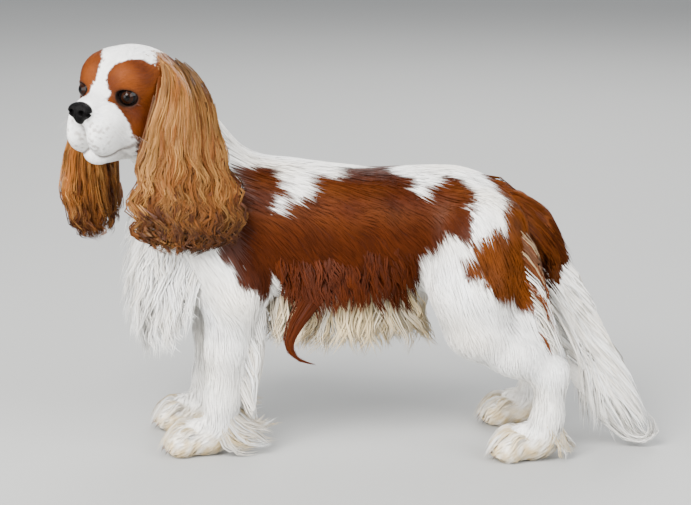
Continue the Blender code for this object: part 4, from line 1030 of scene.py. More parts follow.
def bare(p):
    """Where no hair grows: the eyes and their rims, and the nose."""
    q = np.stack(in_head(p.T))
    m = [q[0], np.abs(q[1]), q[2]]
    return (lid_opening(m) < 0.0015) | (nose_field(q) < 0.0014) | (p[:, 2] < 0.003)


def tuft_density(p):
    """How many tufts to an area, so that they cover it about evenly."""
    length, width, _ = tuft_size(p)
    share = np.where(from_face(p) < FACE_EDGE, 0.52, np.where(p[:, 2] < LEG_TOP, 0.34, 1.0))
    return np.where(bare(p), 0.0, share) / (length * width) ** 0.9


def toned_hair(colours, tone, on_white, brightest):
    """Colours times a tone for each tuft, of which white hair takes a share."""
    white = colours[:, :, :1] > 0.6
    return np.clip(colours * np.where(white, 1 + (tone - 1) * on_white, tone), 0.0, brightest)


random = np.random.default_rng(11)
SHORT_TUFTS = 60000
COMBED_STATIONS = 4
# Finish of each slot: name, roughness, tone of its darkest streaks, bump and shine
coat_materials = {
    "white_coat": coat_material("white coat", 0.55, 0.86, 0.15, 0.25),
    "head_coat": coat_material("short face coat", 0.55, 0.78, 0.25, 0.12),
    "chestnut_coat": coat_material("silky body coat", 0.45, 0.80, 0.12, 0.07),
    "ear_coat": coat_material("ear hair", 0.42, 0.60, 0.30, 0.18),
}
roots = scattered(random, skin_points, skin_faces, SHORT_TUFTS, tuft_density)
length, width, rise = tuft_size(roots)
length = length * random.uniform(0.75, 1.2, len(roots))
width = width * random.uniform(0.7, 1.3, len(roots))
rise = rise * random.uniform(0.45, 1.0, len(roots))
paths, facing = combed(roots, length, COMBED_STATIONS, rise, sink=0.0010)
paths = above_floor(paths, clear=0.0012)
across = np.cross(facing, np.gradient(paths, axis=1))
swell = np.array((0.7, 1.0, 0.72, 0.0))
# Stations that are kept of those that are combed
SHORT_STATIONS = [0, 1, 3]
tone = (1.0 + 0.04 * random.normal(size=len(roots)) + 0.04 * mottle(roots, 0.016, 51)
        + 0.10 * mottle(roots * (1.0, 1.0, 0.4), 0.020, 52) + 0.10 * mottle(roots, 0.060, 53))[:, None, None]
# Each tuft takes its colour a little behind its own place, which feathers a marking's edge along the lie
behind = paths[:, [0, 1, 1, 2]]
shades = coat_colour(behind.reshape(-1, 3)).reshape(behind.shape)
shades = toned_hair(shades, tone, on_white=0.35, brightest=0.95)
x, y, z = roots.T
on_face, on_leg = from_face(roots) < FACE_EDGE, z < LEG_TOP
fore, hind = x < SHOULDER, x >= HIP
trunk_front, flank = ~on_face & ~on_leg & fore, ~on_face & ~on_leg & ~fore & ~hind
groups = {
    "face_coat": ("head_coat", on_face),
    "neck_coat": ("white_coat", trunk_front & (z >= NECK_FOOT)),
    "chest_coat": ("white_coat", trunk_front & (z < NECK_FOOT)),
    "left_flank_coat": ("chestnut_coat", flank & (y < 0)),
    "right_flank_coat": ("chestnut_coat", flank & (y >= 0)),
    "quarters_coat": ("chestnut_coat", hind & ~on_leg),
    "leg_coat": ("white_coat", on_leg),
}
for name, (slot, chosen) in groups.items():
    way, side, out, tint = (part[chosen][:, SHORT_STATIONS] for part in (paths, across, facing, shades))
    # Painted shade at the tufts' roots, lighter on white hair
    painted_root_shade = 0.07 if slot == "white_coat" else 0.12
    add_tufts(name, way, side, out, width[chosen, None] * swell[SHORT_STATIONS], tint,
              hide_patch(roots[chosen]), coat_materials[slot], painted_root_shade, tilt=0.15)


# Long hair: the ruff, the belly's fringe, the feather of the legs, the plume and the toes. It hangs in locks
# that taper and wave, each a bunch of thin closed strands round a guide, which runs from a line of roots to a
# line of tips.
def between(lines, w, u):
    """Points a share u along lines that are blended, w of the way through the list of them."""
    lines = [np.array(line, float) for line in lines]
    drawn = np.stack([np.stack([np.interp(u * (len(line) - 1), np.arange(len(line)), line[:, n])
                                for n in range(3)], 1) for line in lines])
    low = np.clip(w.astype(int), 0, max(len(lines) - 2, 0))
    high = np.minimum(low + 1, len(lines) - 1)
    t = (w - low)[:, None]
    pick = np.arange(len(u))
    return drawn[low, pick] * (1 - t) + drawn[high, pick] * t


def guides(random, roots, tips, count, bow, wave, ragged, stations=6):
    """Guide paths over a panel of hair, and the way its row runs. Each bows off its chord, waves more towards
    its tip, and has its own length."""
    u = (np.arange(count) + random.uniform(0, 1, count)) / count
    w = random.uniform(0, max(len(roots) - 1, 0), count)
    start = between(roots, w, u)
    end = between(tips, w, np.clip(u + random.normal(size=count) * 0.03, 0, 1))
    end = end + (end - start) * random.uniform(-ragged, ragged * 0.4, count)[:, None]
    t = np.linspace(0.0, 1.0, stations)[None, :, None]
    path = (1 - t) * start[:, None] + t * end[:, None] + 4 * t * (1 - t) * np.array(bow)
    row = unit(between(tips, w, np.clip(u + 0.05, 0, 1)) - between(tips, w, np.clip(u - 0.05, 0, 1)))[:, None]
    phase = random.uniform(0, 6.3, (count, 1, 1))
    path = path + row * wave * t * np.sin(phase + 6.5 * t)
    return path, np.broadcast_to(row, path.shape)


def rooted(path, sink=0.004):
    """Draws the first half of each guide in, so that it starts under the skin."""
    root = path[:, 0]
    for _ in range(3):
        root = root - outward(root) * np.maximum(read_hide(root) + sink, 0.0)[:, None]
    fade = np.clip(1.0 - np.linspace(0.0, 2.0, path.shape[1]), 0.0, 1.0)[None, :, None]
    return path + (root - path[:, 0])[:, None] * fade


def strands(random, path, across, each, spread, gather):
    """Strands of each lock: spread round the guide at the root, and drawn in to a share of that towards the
    tip. Gives their paths, the way across each, and the way each faces out of its lock."""
    count, stations = path.shape[:2]
    along = unit(np.gradient(path, axis=1))
    side = unit(across - along * np.sum(across * along, 2, keepdims=True))
    up = np.cross(along, side)
    path, side, up = (np.repeat(v, each, 0) for v in (path, side, up))
    turn = random.uniform(0, 2 * math.pi, count * each)
    reach = np.sqrt(random.uniform(0, 1, count * each))
    t = np.linspace(0.0, 1.0, stations)
    draw = 1.0 + (gather - 1.0) * t ** 0.8
    wobble = 0.15 * np.sin(random.uniform(0, 6.3, (count * each, 1)) + 9.0 * t[None])
    off_side = (reach * np.cos(turn))[:, None] * draw + wobble * t
    off_up = (reach * np.sin(turn))[:, None] * draw * 0.45
    moved = path + (side * off_side[:, :, None] + up * off_up[:, :, None]) * np.array(spread)
    cut = random.uniform(0.82, 1.0, count * each)
    place = t[None] * cut[:, None] * (stations - 1)
    low = np.minimum(place.astype(int), stations - 2)
    share = (place - low)[:, :, None]
    pick = np.arange(count * each)[:, None]
    facing = side * np.cos(turn)[:, None, None] + up * np.sin(turn)[:, None, None]
    return moved[pick, low] * (1 - share) + moved[pick, low + 1] * share, side, facing


def add_locks(name, random, path, across, colours, slot, each, spread, gather, width, middle=None,
              rounded=0.55, outer=None, painted_root_shade=0.20):
    """Turns guides into locks of strands and adds them as one piece. Each lock and each strand has its own
    tone, and is lit as part of its lock and of the hanging mass: round a middle, or as the guides' own outer
    directions say."""
    paths, sides, round_lock = strands(random, path, across, each, spread, gather)
    if outer is None:
        outer = unit((paths - np.array(middle)) * (1.0, 1.0, 0.3)) + np.array((0.0, 0.0, 0.25))
    else:
        outer = np.repeat(outer, each, 0)
    facing = unit(rounded * round_lock + outer)
    paths = above_floor(paths)
    count, stations = paths.shape[:2]
    swell = np.interp(np.linspace(0.0, 1.0, stations), (0.0, 0.25, 0.7, 1.0), (0.75, 1.0, 0.7, 0.0))
    widths = width * random.uniform(0.7, 1.3, count)[:, None] * swell
    lock_tone = np.repeat(random.normal(size=len(path)), each)
    tone = (1.0 + 0.10 * lock_tone + 0.08 * random.normal(size=count))[:, None, None]
    if colours.ndim == 2:
        colours = np.repeat(colours[:, None], stations, 1)
    colours = toned_hair(np.repeat(colours, each, 0), tone, on_white=0.3, brightest=0.96)
    root = paths[:, 0]
    low, high = root.min(0), root.max(0)
    centre = (low + high) / 2
    turn = np.arctan2(root[:, 1] - centre[1], root[:, 0] - centre[0]) / (2 * math.pi) + 0.5
    climb = (root[:, 2] - low[2]) / max(high[2] - low[2], 1e-4)
    patch = 0.01 + 0.98 * np.stack([turn, climb], 1)
    # Strands are painted darker towards their roots, as shade among the hair
    return add_tufts(name, paths, sides, facing, widths, colours, patch, coat_materials[slot],
                     painted_root_shade, tilt=0.30)


def two_sided(path, plane):
    """Outer directions for hair that hangs as a thin sheet: to the side of its middle plane on which each
    lies, and back and up."""
    side = np.tanh((path[:, :, 1] - plane) / 0.008)
    return unit(np.stack([0.70 + 0 * side, side, 0.30 + 0 * side], 2))


def mirrored_line(line):
    """A line from the dog's left to its middle, carried on to its right."""
    return list(line) + [(x, -y, z) for x, y, z in reversed(line[:-1])]


def set_over(rows, side=1, out=0.0):
    """A panel's lines as drawn on the dog's left, or on its right where side is -1, moved out sideways."""
    return [[(x, y * side + out, z) for x, y, z in line] for line in rows]


# Ruff: from the throat down over the breast
RUFF_ROOTS = [mirrored_line(line) for line in (
    ((-0.158, -0.052, 0.186), (-0.178, -0.040, 0.168), (-0.200, -0.024, 0.164), (-0.208, 0.0, 0.164)),
    ((-0.150, -0.062, 0.214), (-0.176, -0.048, 0.205), (-0.200, -0.034, 0.202), (-0.213, 0.0, 0.200)),
    ((-0.146, -0.064, 0.248), (-0.170, -0.054, 0.242), (-0.192, -0.040, 0.240), (-0.205, 0.0, 0.236)),
    ((-0.140, -0.052, 0.300), (-0.160, -0.046, 0.305), (-0.184, -0.036, 0.300), (-0.196, -0.004, 0.295)),
)]
RUFF_TIPS = [mirrored_line(line) for line in (
    ((-0.164, -0.056, 0.134), (-0.184, -0.044, 0.102), (-0.207, -0.030, 0.092), (-0.214, 0.0, 0.083)),
    ((-0.160, -0.070, 0.158), (-0.190, -0.060, 0.130), (-0.224, -0.040, 0.122), (-0.238, 0.0, 0.122)),
    ((-0.158, -0.074, 0.200), (-0.192, -0.068, 0.176), (-0.230, -0.046, 0.162), (-0.246, 0.0, 0.164)),
    ((-0.150, -0.068, 0.256), (-0.174, -0.064, 0.262), (-0.214, -0.046, 0.246), (-0.236, 0.0, 0.238)),
)]
random = np.random.default_rng(12)
path, across = guides(random, RUFF_ROOTS, RUFF_TIPS, count=520, bow=(-0.006, 0.0, 0.0), wave=0.010,
                      ragged=0.28)
path = rooted(path)
white_hair = mix(WHITE, CREAM, 0.10 + 0.10 * random.normal(size=len(path)))
add_locks("ruff", random, path, across, white_hair, "white_coat", each=8, spread=0.0100, gather=0.50,
          width=0.0015, middle=(-0.150, 0.0, 0.20), rounded=0.4)

# Belly's fringe: lines on the left, in the middle and on the right
FRINGE_ROOTS = (
    ((-0.085, -0.046, 0.176), (-0.030, -0.050, 0.176), (0.010, -0.050, 0.177), (0.055, -0.046, 0.182)),
    ((-0.085, 0.0, 0.156), (-0.030, 0.0, 0.157), (0.010, 0.0, 0.159), (0.055, 0.0, 0.164)),
    ((-0.085, 0.046, 0.176), (-0.030, 0.050, 0.176), (0.010, 0.050, 0.177), (0.055, 0.046, 0.182)))
FRINGE_TIPS = (
    ((-0.088, -0.042, 0.112), (-0.044, -0.038, 0.106), (0.012, -0.044, 0.103), (0.083, -0.036, 0.113)),
    ((-0.084, 0.0, 0.110), (-0.044, 0.0, 0.102), (0.012, 0.0, 0.099), (0.080, 0.0, 0.107)),
    ((-0.088, 0.042, 0.112), (-0.044, 0.038, 0.106), (0.012, 0.044, 0.103), (0.083, 0.036, 0.113)))
random = np.random.default_rng(13)
path, across = guides(random, FRINGE_ROOTS, FRINGE_TIPS, count=330, bow=(0.003, 0.0, 0.0), wave=0.009,
                      ragged=0.34)
cream_hair = mix(WHITE * 0.95, CREAM, 0.95 + 0.25 * random.normal(size=len(path)))
own_colour = coat_colour(path[:, 0])
# Each lock turns from the belly's own colour to cream near its root, but for a few that turn only in part
turned = ease(np.linspace(0.0, 1.0, path.shape[1])[None], 0.05, 0.30) * np.ones((len(path), 1))
turned = np.where(random.uniform(size=(len(path), 1)) < 0.10, 0.35, turned)[:, :, None]
fringe_tint = own_colour[:, None] * (1 - turned) + cream_hair[:, None] * turned
add_locks("belly_fringe", random, rooted(path), across, fringe_tint, "white_coat", each=10, spread=0.0100,
          gather=0.45, width=0.0013, middle=(0.0, 0.0, 0.18))

# One long red lock curls forward out of the fringe behind the near elbow
CURL = ((-0.026, -0.066, 0.192), (-0.038, -0.067, 0.173), (-0.051, -0.066, 0.155), (-0.061, -0.064, 0.139),
        (-0.0662, -0.062, 0.124), (-0.064, -0.060, 0.111), (-0.054, -0.058, 0.102), (-0.0364, -0.057, 0.0975))
CURL_LOCKS = 20
random = np.random.default_rng(14)
loose = np.linspace(1.0, 0.0, len(CURL))[None, :, None] ** 1.6 * (0.010, 0.001, 0.006)
curl = rooted(np.array(CURL)[None] + random.uniform(-1.6, 1.6, (CURL_LOCKS, 1, 3)) * loose)
curl_tint = mix(DEEP_CHESTNUT, CHESTNUT * 1.3, random.uniform(0.2, 1.0, CURL_LOCKS))
add_locks("red_curl", random, curl, np.broadcast_to((1.0, 0.0, 0.3), curl.shape), curl_tint, "chestnut_coat",
          each=8, spread=0.0040, gather=0.14, width=0.0009, middle=(-0.06, 0.05, 0.15), rounded=0.2)

# Red locks of the flank's lower edge hang over the fringe
FLANK_ROOTS = (
    ((-0.078, -0.067, 0.222), (-0.032, -0.068, 0.222), (0.018, -0.065, 0.223), (0.058, -0.060, 0.226)),
    ((-0.076, -0.066, 0.200), (-0.030, -0.067, 0.200), (0.020, -0.064, 0.201), (0.060, -0.058, 0.205)),
    ((-0.076, -0.066, 0.182), (-0.030, -0.067, 0.182), (0.020, -0.064, 0.183), (0.060, -0.058, 0.190)))
FLANK_TIPS = (
    ((-0.072, -0.066, 0.190), (-0.022, -0.067, 0.188), (0.028, -0.063, 0.189), (0.068, -0.057, 0.194)),
    ((-0.070, -0.061, 0.162), (-0.022, -0.061, 0.160), (0.028, -0.058, 0.161), (0.068, -0.050, 0.168)),
    ((-0.068, -0.056, 0.143), (-0.020, -0.056, 0.141), (0.030, -0.053, 0.142), (0.070, -0.046, 0.153)))
random = np.random.default_rng(20)
for name, side in (("left", 1), ("right", -1)):
    path, across = guides(random, set_over(FLANK_ROOTS, side), set_over(FLANK_TIPS, side), count=150,
                          bow=(0.0, 0.0, 0.0), wave=0.0035, ragged=0.50, stations=5)
    tint = coat_colour(path[:, 0]) * random.uniform(0.9, 1.25, (len(path), 1))
    add_locks("flank_locks_" + name, random, rooted(path), across, tint, "chestnut_coat", each=8,
              spread=0.0065, gather=0.40, width=0.0013, middle=(0.0, 0.0, 0.19), rounded=0.15, painted_root_shade=0.05)


def beside(line, side, x, y, out=0.0):
    """A leg's line, given from its ankle with z from the floor, set at the leg."""
    return [(x + px, side * (y + py + out), pz) for px, py, pz in line]


# Feathers, heel tufts and toe tufts: a line of roots and one of tips for each
FORE_FEATHER = (((0.036, 0.0, 0.185), (0.034, 0.0, 0.142), (0.026, 0.0, 0.102), (0.018, 0.0, 0.066)),
                ((0.048, -0.004, 0.126), (0.043, -0.003, 0.084), (0.036, -0.002, 0.048),
                 (0.040, -0.002, 0.018)))
BREECHES = (((-0.026, 0.002, 0.240), (-0.022, 0.002, 0.205), (-0.020, 0.000, 0.170), (-0.016, 0.0, 0.138)),
            ((-0.008, 0.000, 0.192), (0.004, -0.002, 0.150), (0.014, -0.004, 0.116), (0.015, -0.003, 0.086)))
HEEL = (((0.006, -0.012, 0.050), (0.012, -0.002, 0.058), (0.008, 0.010, 0.048), (0.002, 0.014, 0.028)),
        ((0.044, -0.016, 0.020), (0.064, -0.004, 0.034), (0.058, 0.008, 0.014), (0.034, 0.016, 0.004)))
HIND_HEEL = (((0.004, -0.012, 0.040), (0.010, 0.0, 0.044), (0.004, 0.012, 0.040)),
             ((0.022, -0.015, 0.005), (0.036, 0.0, 0.010), (0.022, 0.015, 0.005)))
TOES = (((-0.018, -0.019, 0.026), (-0.032, -0.009, 0.030), (-0.032, 0.009, 0.030), (-0.018, 0.019, 0.026)),
        ((-0.046, -0.027, 0.004), (-0.062, -0.010, 0.004), (-0.062, 0.010, 0.004), (-0.046, 0.027, 0.004)))
random = np.random.default_rng(15)
for name, (rows, side, x_shift, y) in LEGS.items():
    ankle = rows[-1][0] + x_shift
    fore = name.startswith("fore")
    lines = FORE_FEATHER if fore else BREECHES
    roots, tips = ([beside(line, side, ankle, y, out) for out in (-0.009, 0.009)] for line in lines)
    path, across = guides(random, roots, tips, count=90 if fore else 120, bow=(0.005, 0.0, 0.0), wave=0.011,
                          ragged=0.28)
    tint = mix(WHITE, CREAM, 0.18 + 0.15 * random.normal(size=len(path)))
    if not fore:
        height = path[:, -1, 2] + 0.008 * random.normal(size=len(path))
        brown = (height > 0.100) & (height < 0.132) & (random.uniform(size=len(path)) < 0.3)
        tint = np.where(brown[:, None], THIGH_RED * 1.4, tint)
        warm = mix(THIGH_RED * 1.2, CREAM, 2.0 * random.uniform(size=len(path)) - 0.9)
        tint = np.where(height[:, None] > 0.140, warm, tint)
    add_locks(name + "_feather", random, rooted(path), across, tint, "white_coat", each=11, spread=0.0070,
              gather=0.42, width=0.0013 if fore else 0.0010, rounded=0.5, outer=two_sided(path, side * y))
    # Each tuft's name, lines, how many locks, how far they arch and wave, and the x from their roots of the
    # middle that they are lit round
    for part, lines, count, arch, wave, lit_round in (
            ("_toes", TOES, 26, 0.011, 0.0020, 0.02),
            ("_heel", HEEL if fore else HIND_HEEL, 36, -0.010 if fore else -0.005, 0.0065, -0.02)):
        roots, tips = ([beside(line, side, ankle, y)] for line in lines)
        path, across = guides(random, roots, tips, count, bow=(0.0, 0.0, arch), wave=wave, ragged=0.30)
        tint = mix(WHITE, CREAM * 0.95, 0.55 + 0.35 * random.normal(size=len(path)))
        add_locks(name + part, random, rooted(path, 0.002), across, tint, "white_coat", each=10,
                  spread=0.0055, gather=0.50, width=0.0010,
                  middle=path[:, 0].mean(0) + np.array((lit_round, 0.0, -0.03)), rounded=0.4)

# Plume: it hangs from the tail's lower side to the floor, as a thin sheet of three rows
PLUME_ROOTS = (((0.208, 0.0, 0.206), (0.214, -0.002, 0.186), (0.217, -0.004, 0.160), (0.223, -0.006, 0.132),
                (0.231, -0.009, 0.100)),
               ((0.200, 0.0, 0.194), (0.205, -0.002, 0.176), (0.209, -0.004, 0.152), (0.217, -0.006, 0.125),
                (0.226, -0.009, 0.098)))
PLUME_TIPS = (((0.242, -0.003, 0.144), (0.262, -0.008, 0.110), (0.288, -0.012, 0.070), (0.310, -0.018, 0.032),
               (0.313, -0.022, 0.010)),
              ((0.222, -0.004, 0.120), (0.232, -0.010, 0.070), (0.237, -0.018, 0.028), (0.245, -0.022, 0.006),
               (0.290, -0.024, 0.004)))
# The last strands sweep along the floor and curl up and back in an open loop
LOOP = (((0.250, -0.012, 0.100), (0.270, -0.015, 0.062), (0.292, -0.018, 0.026), (0.311, -0.021, 0.009),
         (0.317, -0.022, 0.020), (0.308, -0.022, 0.036), (0.297, -0.021, 0.046)),
        ((0.238, -0.010, 0.085), (0.247, -0.014, 0.050), (0.262, -0.018, 0.020), (0.285, -0.021, 0.005),
         (0.306, -0.023, 0.004), (0.316, -0.023, 0.013), (0.317, -0.022, 0.026)))
random = np.random.default_rng(16)
parts = [guides(random, set_over(PLUME_ROOTS, out=out), set_over(PLUME_TIPS, out=out), count=110,
                bow=(0.010, out * 0.8, 0.004), wave=0.007, ragged=0.10, stations=7)
         for out in (-0.008, 0.0, 0.007)]
path, across = (np.concatenate(part) for part in zip(*parts))
plume_tint = mix(WHITE, CREAM, 0.14 + 0.10 * random.normal(size=len(path)))
plane = np.interp(path[:, :, 0], (0.205, 0.310), (0.0, -0.020))
add_locks("plume", random, path, across, plume_tint, "white_coat", each=8, spread=0.0085, gather=0.55,
          width=0.0015, rounded=0.4, outer=two_sided(path, plane))
LOOP_LOCKS = 16
share = random.uniform(0.0, 1.0, (LOOP_LOCKS, 1, 1))
loop = np.array(LOOP[0]) * (1 - share) + np.array(LOOP[1]) * share
loop = loop + random.normal(size=(LOOP_LOCKS, 1, 3)) * (0.002, 0.005, 0.002)
loop_tint = mix(WHITE, CREAM, np.full(LOOP_LOCKS, 0.15))
add_locks("plume_loop", random, loop, np.broadcast_to((0.0, 1.0, 0.2), loop.shape), loop_tint, "white_coat",
          each=12, spread=0.0040, gather=0.35, width=0.0009, rounded=1.0, outer=two_sided(loop, -0.020))

# Longer red hair runs off the croup over the tail's root, so that rump and tail are one line
CROUP_ROOTS = (
    ((0.132, -0.004, 0.281), (0.150, -0.006, 0.270), (0.172, -0.006, 0.256), (0.200, -0.006, 0.230)),
    ((0.138, -0.032, 0.268), (0.152, -0.033, 0.254), (0.166, -0.034, 0.238), (0.190, -0.020, 0.222)))
CROUP_TIPS = (
    ((0.172, -0.006, 0.269), (0.203, -0.008, 0.245), (0.224, -0.010, 0.209), (0.232, -0.009, 0.176)),
    ((0.176, -0.033, 0.238), (0.190, -0.030, 0.210), (0.204, -0.026, 0.186), (0.213, -0.022, 0.172)))
random = np.random.default_rng(21)
for name, side in (("left", 1), ("right", -1)):
    path, across = guides(random, set_over(CROUP_ROOTS, side), set_over(CROUP_TIPS, side), count=110,
                          bow=(0.003, -0.004 * side, 0.002), wave=0.004, ragged=0.20, stations=5)
    tint = mix(CHESTNUT, THIGH_RED, random.uniform(0.0, 1.0, len(path)))
    add_locks("croup_hair_" + name, random, rooted(path), across, tint, "chestnut_coat", each=10,
              spread=0.0065, gather=0.45, width=0.0011, middle=(0.165, 0.0, 0.23), rounded=0.4)

# Upper tail: shorter hair combed down it, from its root to where only the plume is left
random = np.random.default_rng(17)
UPPER_TAIL, TAIL_TUFTS = 3.6, 4200
station = np.arange(len(TAIL))
joints = np.array([joint[:3] for joint in TAIL])
thick = np.array([joint[3] for joint in TAIL]) - TAIL_COAT
where = np.sort(random.uniform(0.0, UPPER_TAIL, TAIL_TUFTS))
turn = random.uniform(0, 2 * math.pi, len(where))
steps = np.minimum(where[:, None] + np.array((0.0, 0.35, 0.95)), station[-1])
middle = np.stack([np.interp(steps, station, joints[:, n]) for n in range(3)], 2)
along = unit(np.gradient(middle, axis=1))
level = unit(np.cross(along, (0.0, 1.0, 0.0)))
girth = (np.interp(steps, station, thick) - 0.001 + 0.0035 * np.array((0.0, 0.5, 1.0)))[:, :, None]
ring = level * np.cos(turn)[:, None, None] + np.array((0.0, 1.0, 0.0)) * np.sin(turn)[:, None, None]
path = middle + ring * girth
widths = 0.0014 * random.uniform(0.7, 1.3, len(where))[:, None] * swell[SHORT_STATIONS]
tint = np.clip(tail_colour(path[:, 0]) * (1 + 0.18 * random.normal(size=(len(where), 1))), 0.0, 0.95)
tail_patch = 0.02 + 0.96 * np.stack([where / UPPER_TAIL, turn / (2 * math.pi)], 1)
add_tufts("tail_coat", path, np.cross(ring, along), np.broadcast_to(ring, path.shape), widths, tint,
          tail_patch, coat_materials["chestnut_coat"])


# Ear hair: long, wavy and golden, from the crown over the flap to well past its tip, where it turns to curls
# that are painted darker and browner as shade among them. It is grown in layers on the flap's stations, and a
# last layer falls over the top from the crown.
def ear_guides(random, rows, outer, count, start, end, proud, stations=8):
    """Guides that follow an ear's stations from a height on it down to its edge, and which way each faces.
    Neighbours wave together, more tightly the lower they are."""
    s = random.uniform(-1.0, 1.0, count)
    first = random.uniform(*start, count)
    last = random.uniform(*end, count) + 0.9 * (1 - s * s) - 0.9
    last = np.maximum(last, first + 1.0)
    t = np.linspace(0.0, 1.0, stations)
    at = first[:, None] + (last - first)[:, None] * t
    height = random.uniform(*proud, count)[:, None] * (0.35 + 0.65 * t)
    curl = 0.20 + ease(at, 2.0, 7.0)
    phase = 4.0 * s[:, None] + 0.7 * random.normal(size=(count, 1)) + 1.2 * at + 0.30 * at ** 2
    behind = 0.40 * ease(at, 3.4, 0.0)
    fluff = np.where(s[:, None] < 0, 0.45 * ease(at, 4.4, 1.2), 0.0)
    spread = s[:, None] * (0.90 + 0.06 * t + fluff) - behind + 0.120 * curl * np.sin(phase)
    height = height + 0.42 * curl * np.cos(1.1 * phase)
    path, side, out = ear_place(rows, outer, at, spread, height)
    faces = (out * np.clip(2.0 * height, -1.0, 1.0)[:, :, None] * np.where(height > 0, 1.0, 0.5)[:, :, None]
             + side * (0.9 * spread + np.where(height > 0, 0.2, 0.9))[:, :, None])
    return path, side, unit(faces)


def crown_guides(random, rows, outer, side, count, stations=6):
    """Guides from the crown in front of an ear, over its top and down its outer face."""
    u = random.uniform(0.0, 1.0, count)
    roots = np.stack([np.interp(u, (0.0, 0.5, 1.0), values) for values in zip(*CROWN_LINE)], 1)
    roots = head_to_dog(roots * (1, side, 1)) + random.normal(size=(count, 3)) * 0.0035
    for _ in range(3):
        roots = roots - outward(roots) * (read_hide(roots) + 0.001)[:, None]
    s = 1.5 * (u - 0.5) + 0.12 * random.normal(size=count)
    low = ear_place(rows, outer, random.uniform(2.2, 5.0, count), s - 0.15, np.full(count, 1.05))[0]
    over = ear_place(rows, outer, np.full(count, 0.9), 1.4 * s - 0.5, random.uniform(1.6, 3.4, count))[0]
    t = np.linspace(0.0, 1.0, stations)[None, :, None]
    path = (1 - t) ** 2 * roots[:, None] + 2 * t * (1 - t) * over[:, None] + t * t * low[:, None]
    across = unit(np.cross(path[:, -1] - path[:, 0], outward(roots)))
    path = path + across[:, None] * 0.003 * np.sin(6.0 * t + 4.0 * u[:, None, None]) * t
    return path, np.broadcast_to(across[:, None], path.shape)


# Where an ear's top hair parts from the crown, in the head's frame, from the brow's end to the back of the
# skull
CROWN_LINE = ((-0.036, 0.038, 0.030), (-0.056, 0.024, 0.041), (-0.086, 0.015, 0.035))
# Layers of an ear's hair: how many locks, stations where they start and end, and how far out they lie
EAR_LAYERS = ((70, (-0.1, 1.4), (3.0, 5.0), (0.85, 1.10)), (80, (1.2, 3.6), (5.0, 7.0), (0.6, 1.05)),
              (90, (3.0, 5.6), (7.2, 8.6), (0.3, 1.0)), (90, (4.6, 7.2), (8.4, 9.3), (0.0, 1.0)),
              (60, (0.8, 5.5), (6.0, 9.0), (-0.95, -0.35)), (40, (4.0, 7.0), (8.0, 9.3), (-0.95, -0.2)))
# The far ear hangs in the head's shade, and is lightened to match
EAR_TONES = {"left": 0.92, "right": 1.8}
for mark, (rows, outer) in EARS.items():
    random = np.random.default_rng(18 if mark == "left" else 19)
    parts = [ear_guides(random, rows, outer, *layer) for layer in EAR_LAYERS]
    path, across, faces = (np.concatenate([part[n] for part in parts]) for n in range(3))
    # Painted shade among the lower curls: locks that end low are painted redder, and more often dark brown
    low = ease(path[:, -3, 2], 0.29, 0.225)
    streak = 0.5 + 0.35 * mottle(path[:, 3], 0.024, 62) + 0.16 * random.normal(size=len(path))
    tint = mix(EAR_GOLD, EAR_RED, 1.6 * np.clip(streak, 0.0, 1.0) - 0.45 + 0.8 * low)
    tint = mix(tint, EAR_BROWN, 1.3 * random.uniform(size=len(path)) ** 2 * (0.25 + 1.5 * low))
    tone = (1.0 + 0.16 * mottle(path.reshape(-1, 3), 0.035, 61)).reshape(path.shape[:2])
    # Painted shade: the hair darkens down the ear's lower part, among its curls
    tone = tone * (1.0 - 0.40 * ease(path[:, :, 2], 0.285, 0.235)) * EAR_TONES[mark]
    tint = tint[:, None] * tone[:, :, None]
    add_locks("ear_hair_" + mark, random, path, across, tint, "ear_coat", each=7, spread=0.0058, gather=0.40,
              width=0.0013, outer=faces)
    centre, _, out = ear_place(rows, outer, np.array([5.0]), np.zeros(1), np.zeros(1))
    middle = centre[0] - 0.05 * out[0]
    path, across = crown_guides(random, rows, outer, -outer, 100)
    tint = mix(EAR_RED * 0.9, EAR_GOLD, random.uniform(0, 1.2, len(path)))
    add_locks("crown_hair_" + mark, random, path, across, tint, "ear_coat", each=8, spread=0.0050,
              gather=0.55, width=0.0012, middle=middle)


# Claws: short, dark and of horn, one grown from the tip of each toe, where they just show under the tufts.
CLAW_ROOT, CLAW_TIP, CLAW_RADIUS = (0.0125, 0.0085), (0.0185, 0.0016), 0.0018
CLAW_DARK, CLAW_PALE = np.array((0.05, 0.035, 0.028)), np.array((0.22, 0.16, 0.12))


def claw(start, tip, radius, rings=6, sides=8):
    """A bent cone from start to tip, which droops towards the floor."""
    t = np.linspace(0.0, 1.0, rings)[:, None]
    middle = np.array(start) * (1 - t) + np.array(tip) * t + np.array((0.0, 0.0, 0.0018)) * 4 * t * (1 - t)
    turn = np.arange(sides) * 2 * math.pi / sides
    circle = np.stack([0 * turn, np.cos(turn), np.sin(turn)], 1)
    ring = circle[None] * (radius * (1.0 - t ** 1.5 * 0.98))[:, None]
    points = np.concatenate([(middle[:, None] + ring).reshape(-1, 3), middle[:1], middle[-1:]])
    return points, capped_tube(rings, sides)


def claw_horn():
    """Horn: smooth, and coloured by vertex."""
    made, tree, shader = new_material("claw horn", Roughness=0.4)
    set_inputs(tree, shader, Base_Color=painted(tree))
    return made


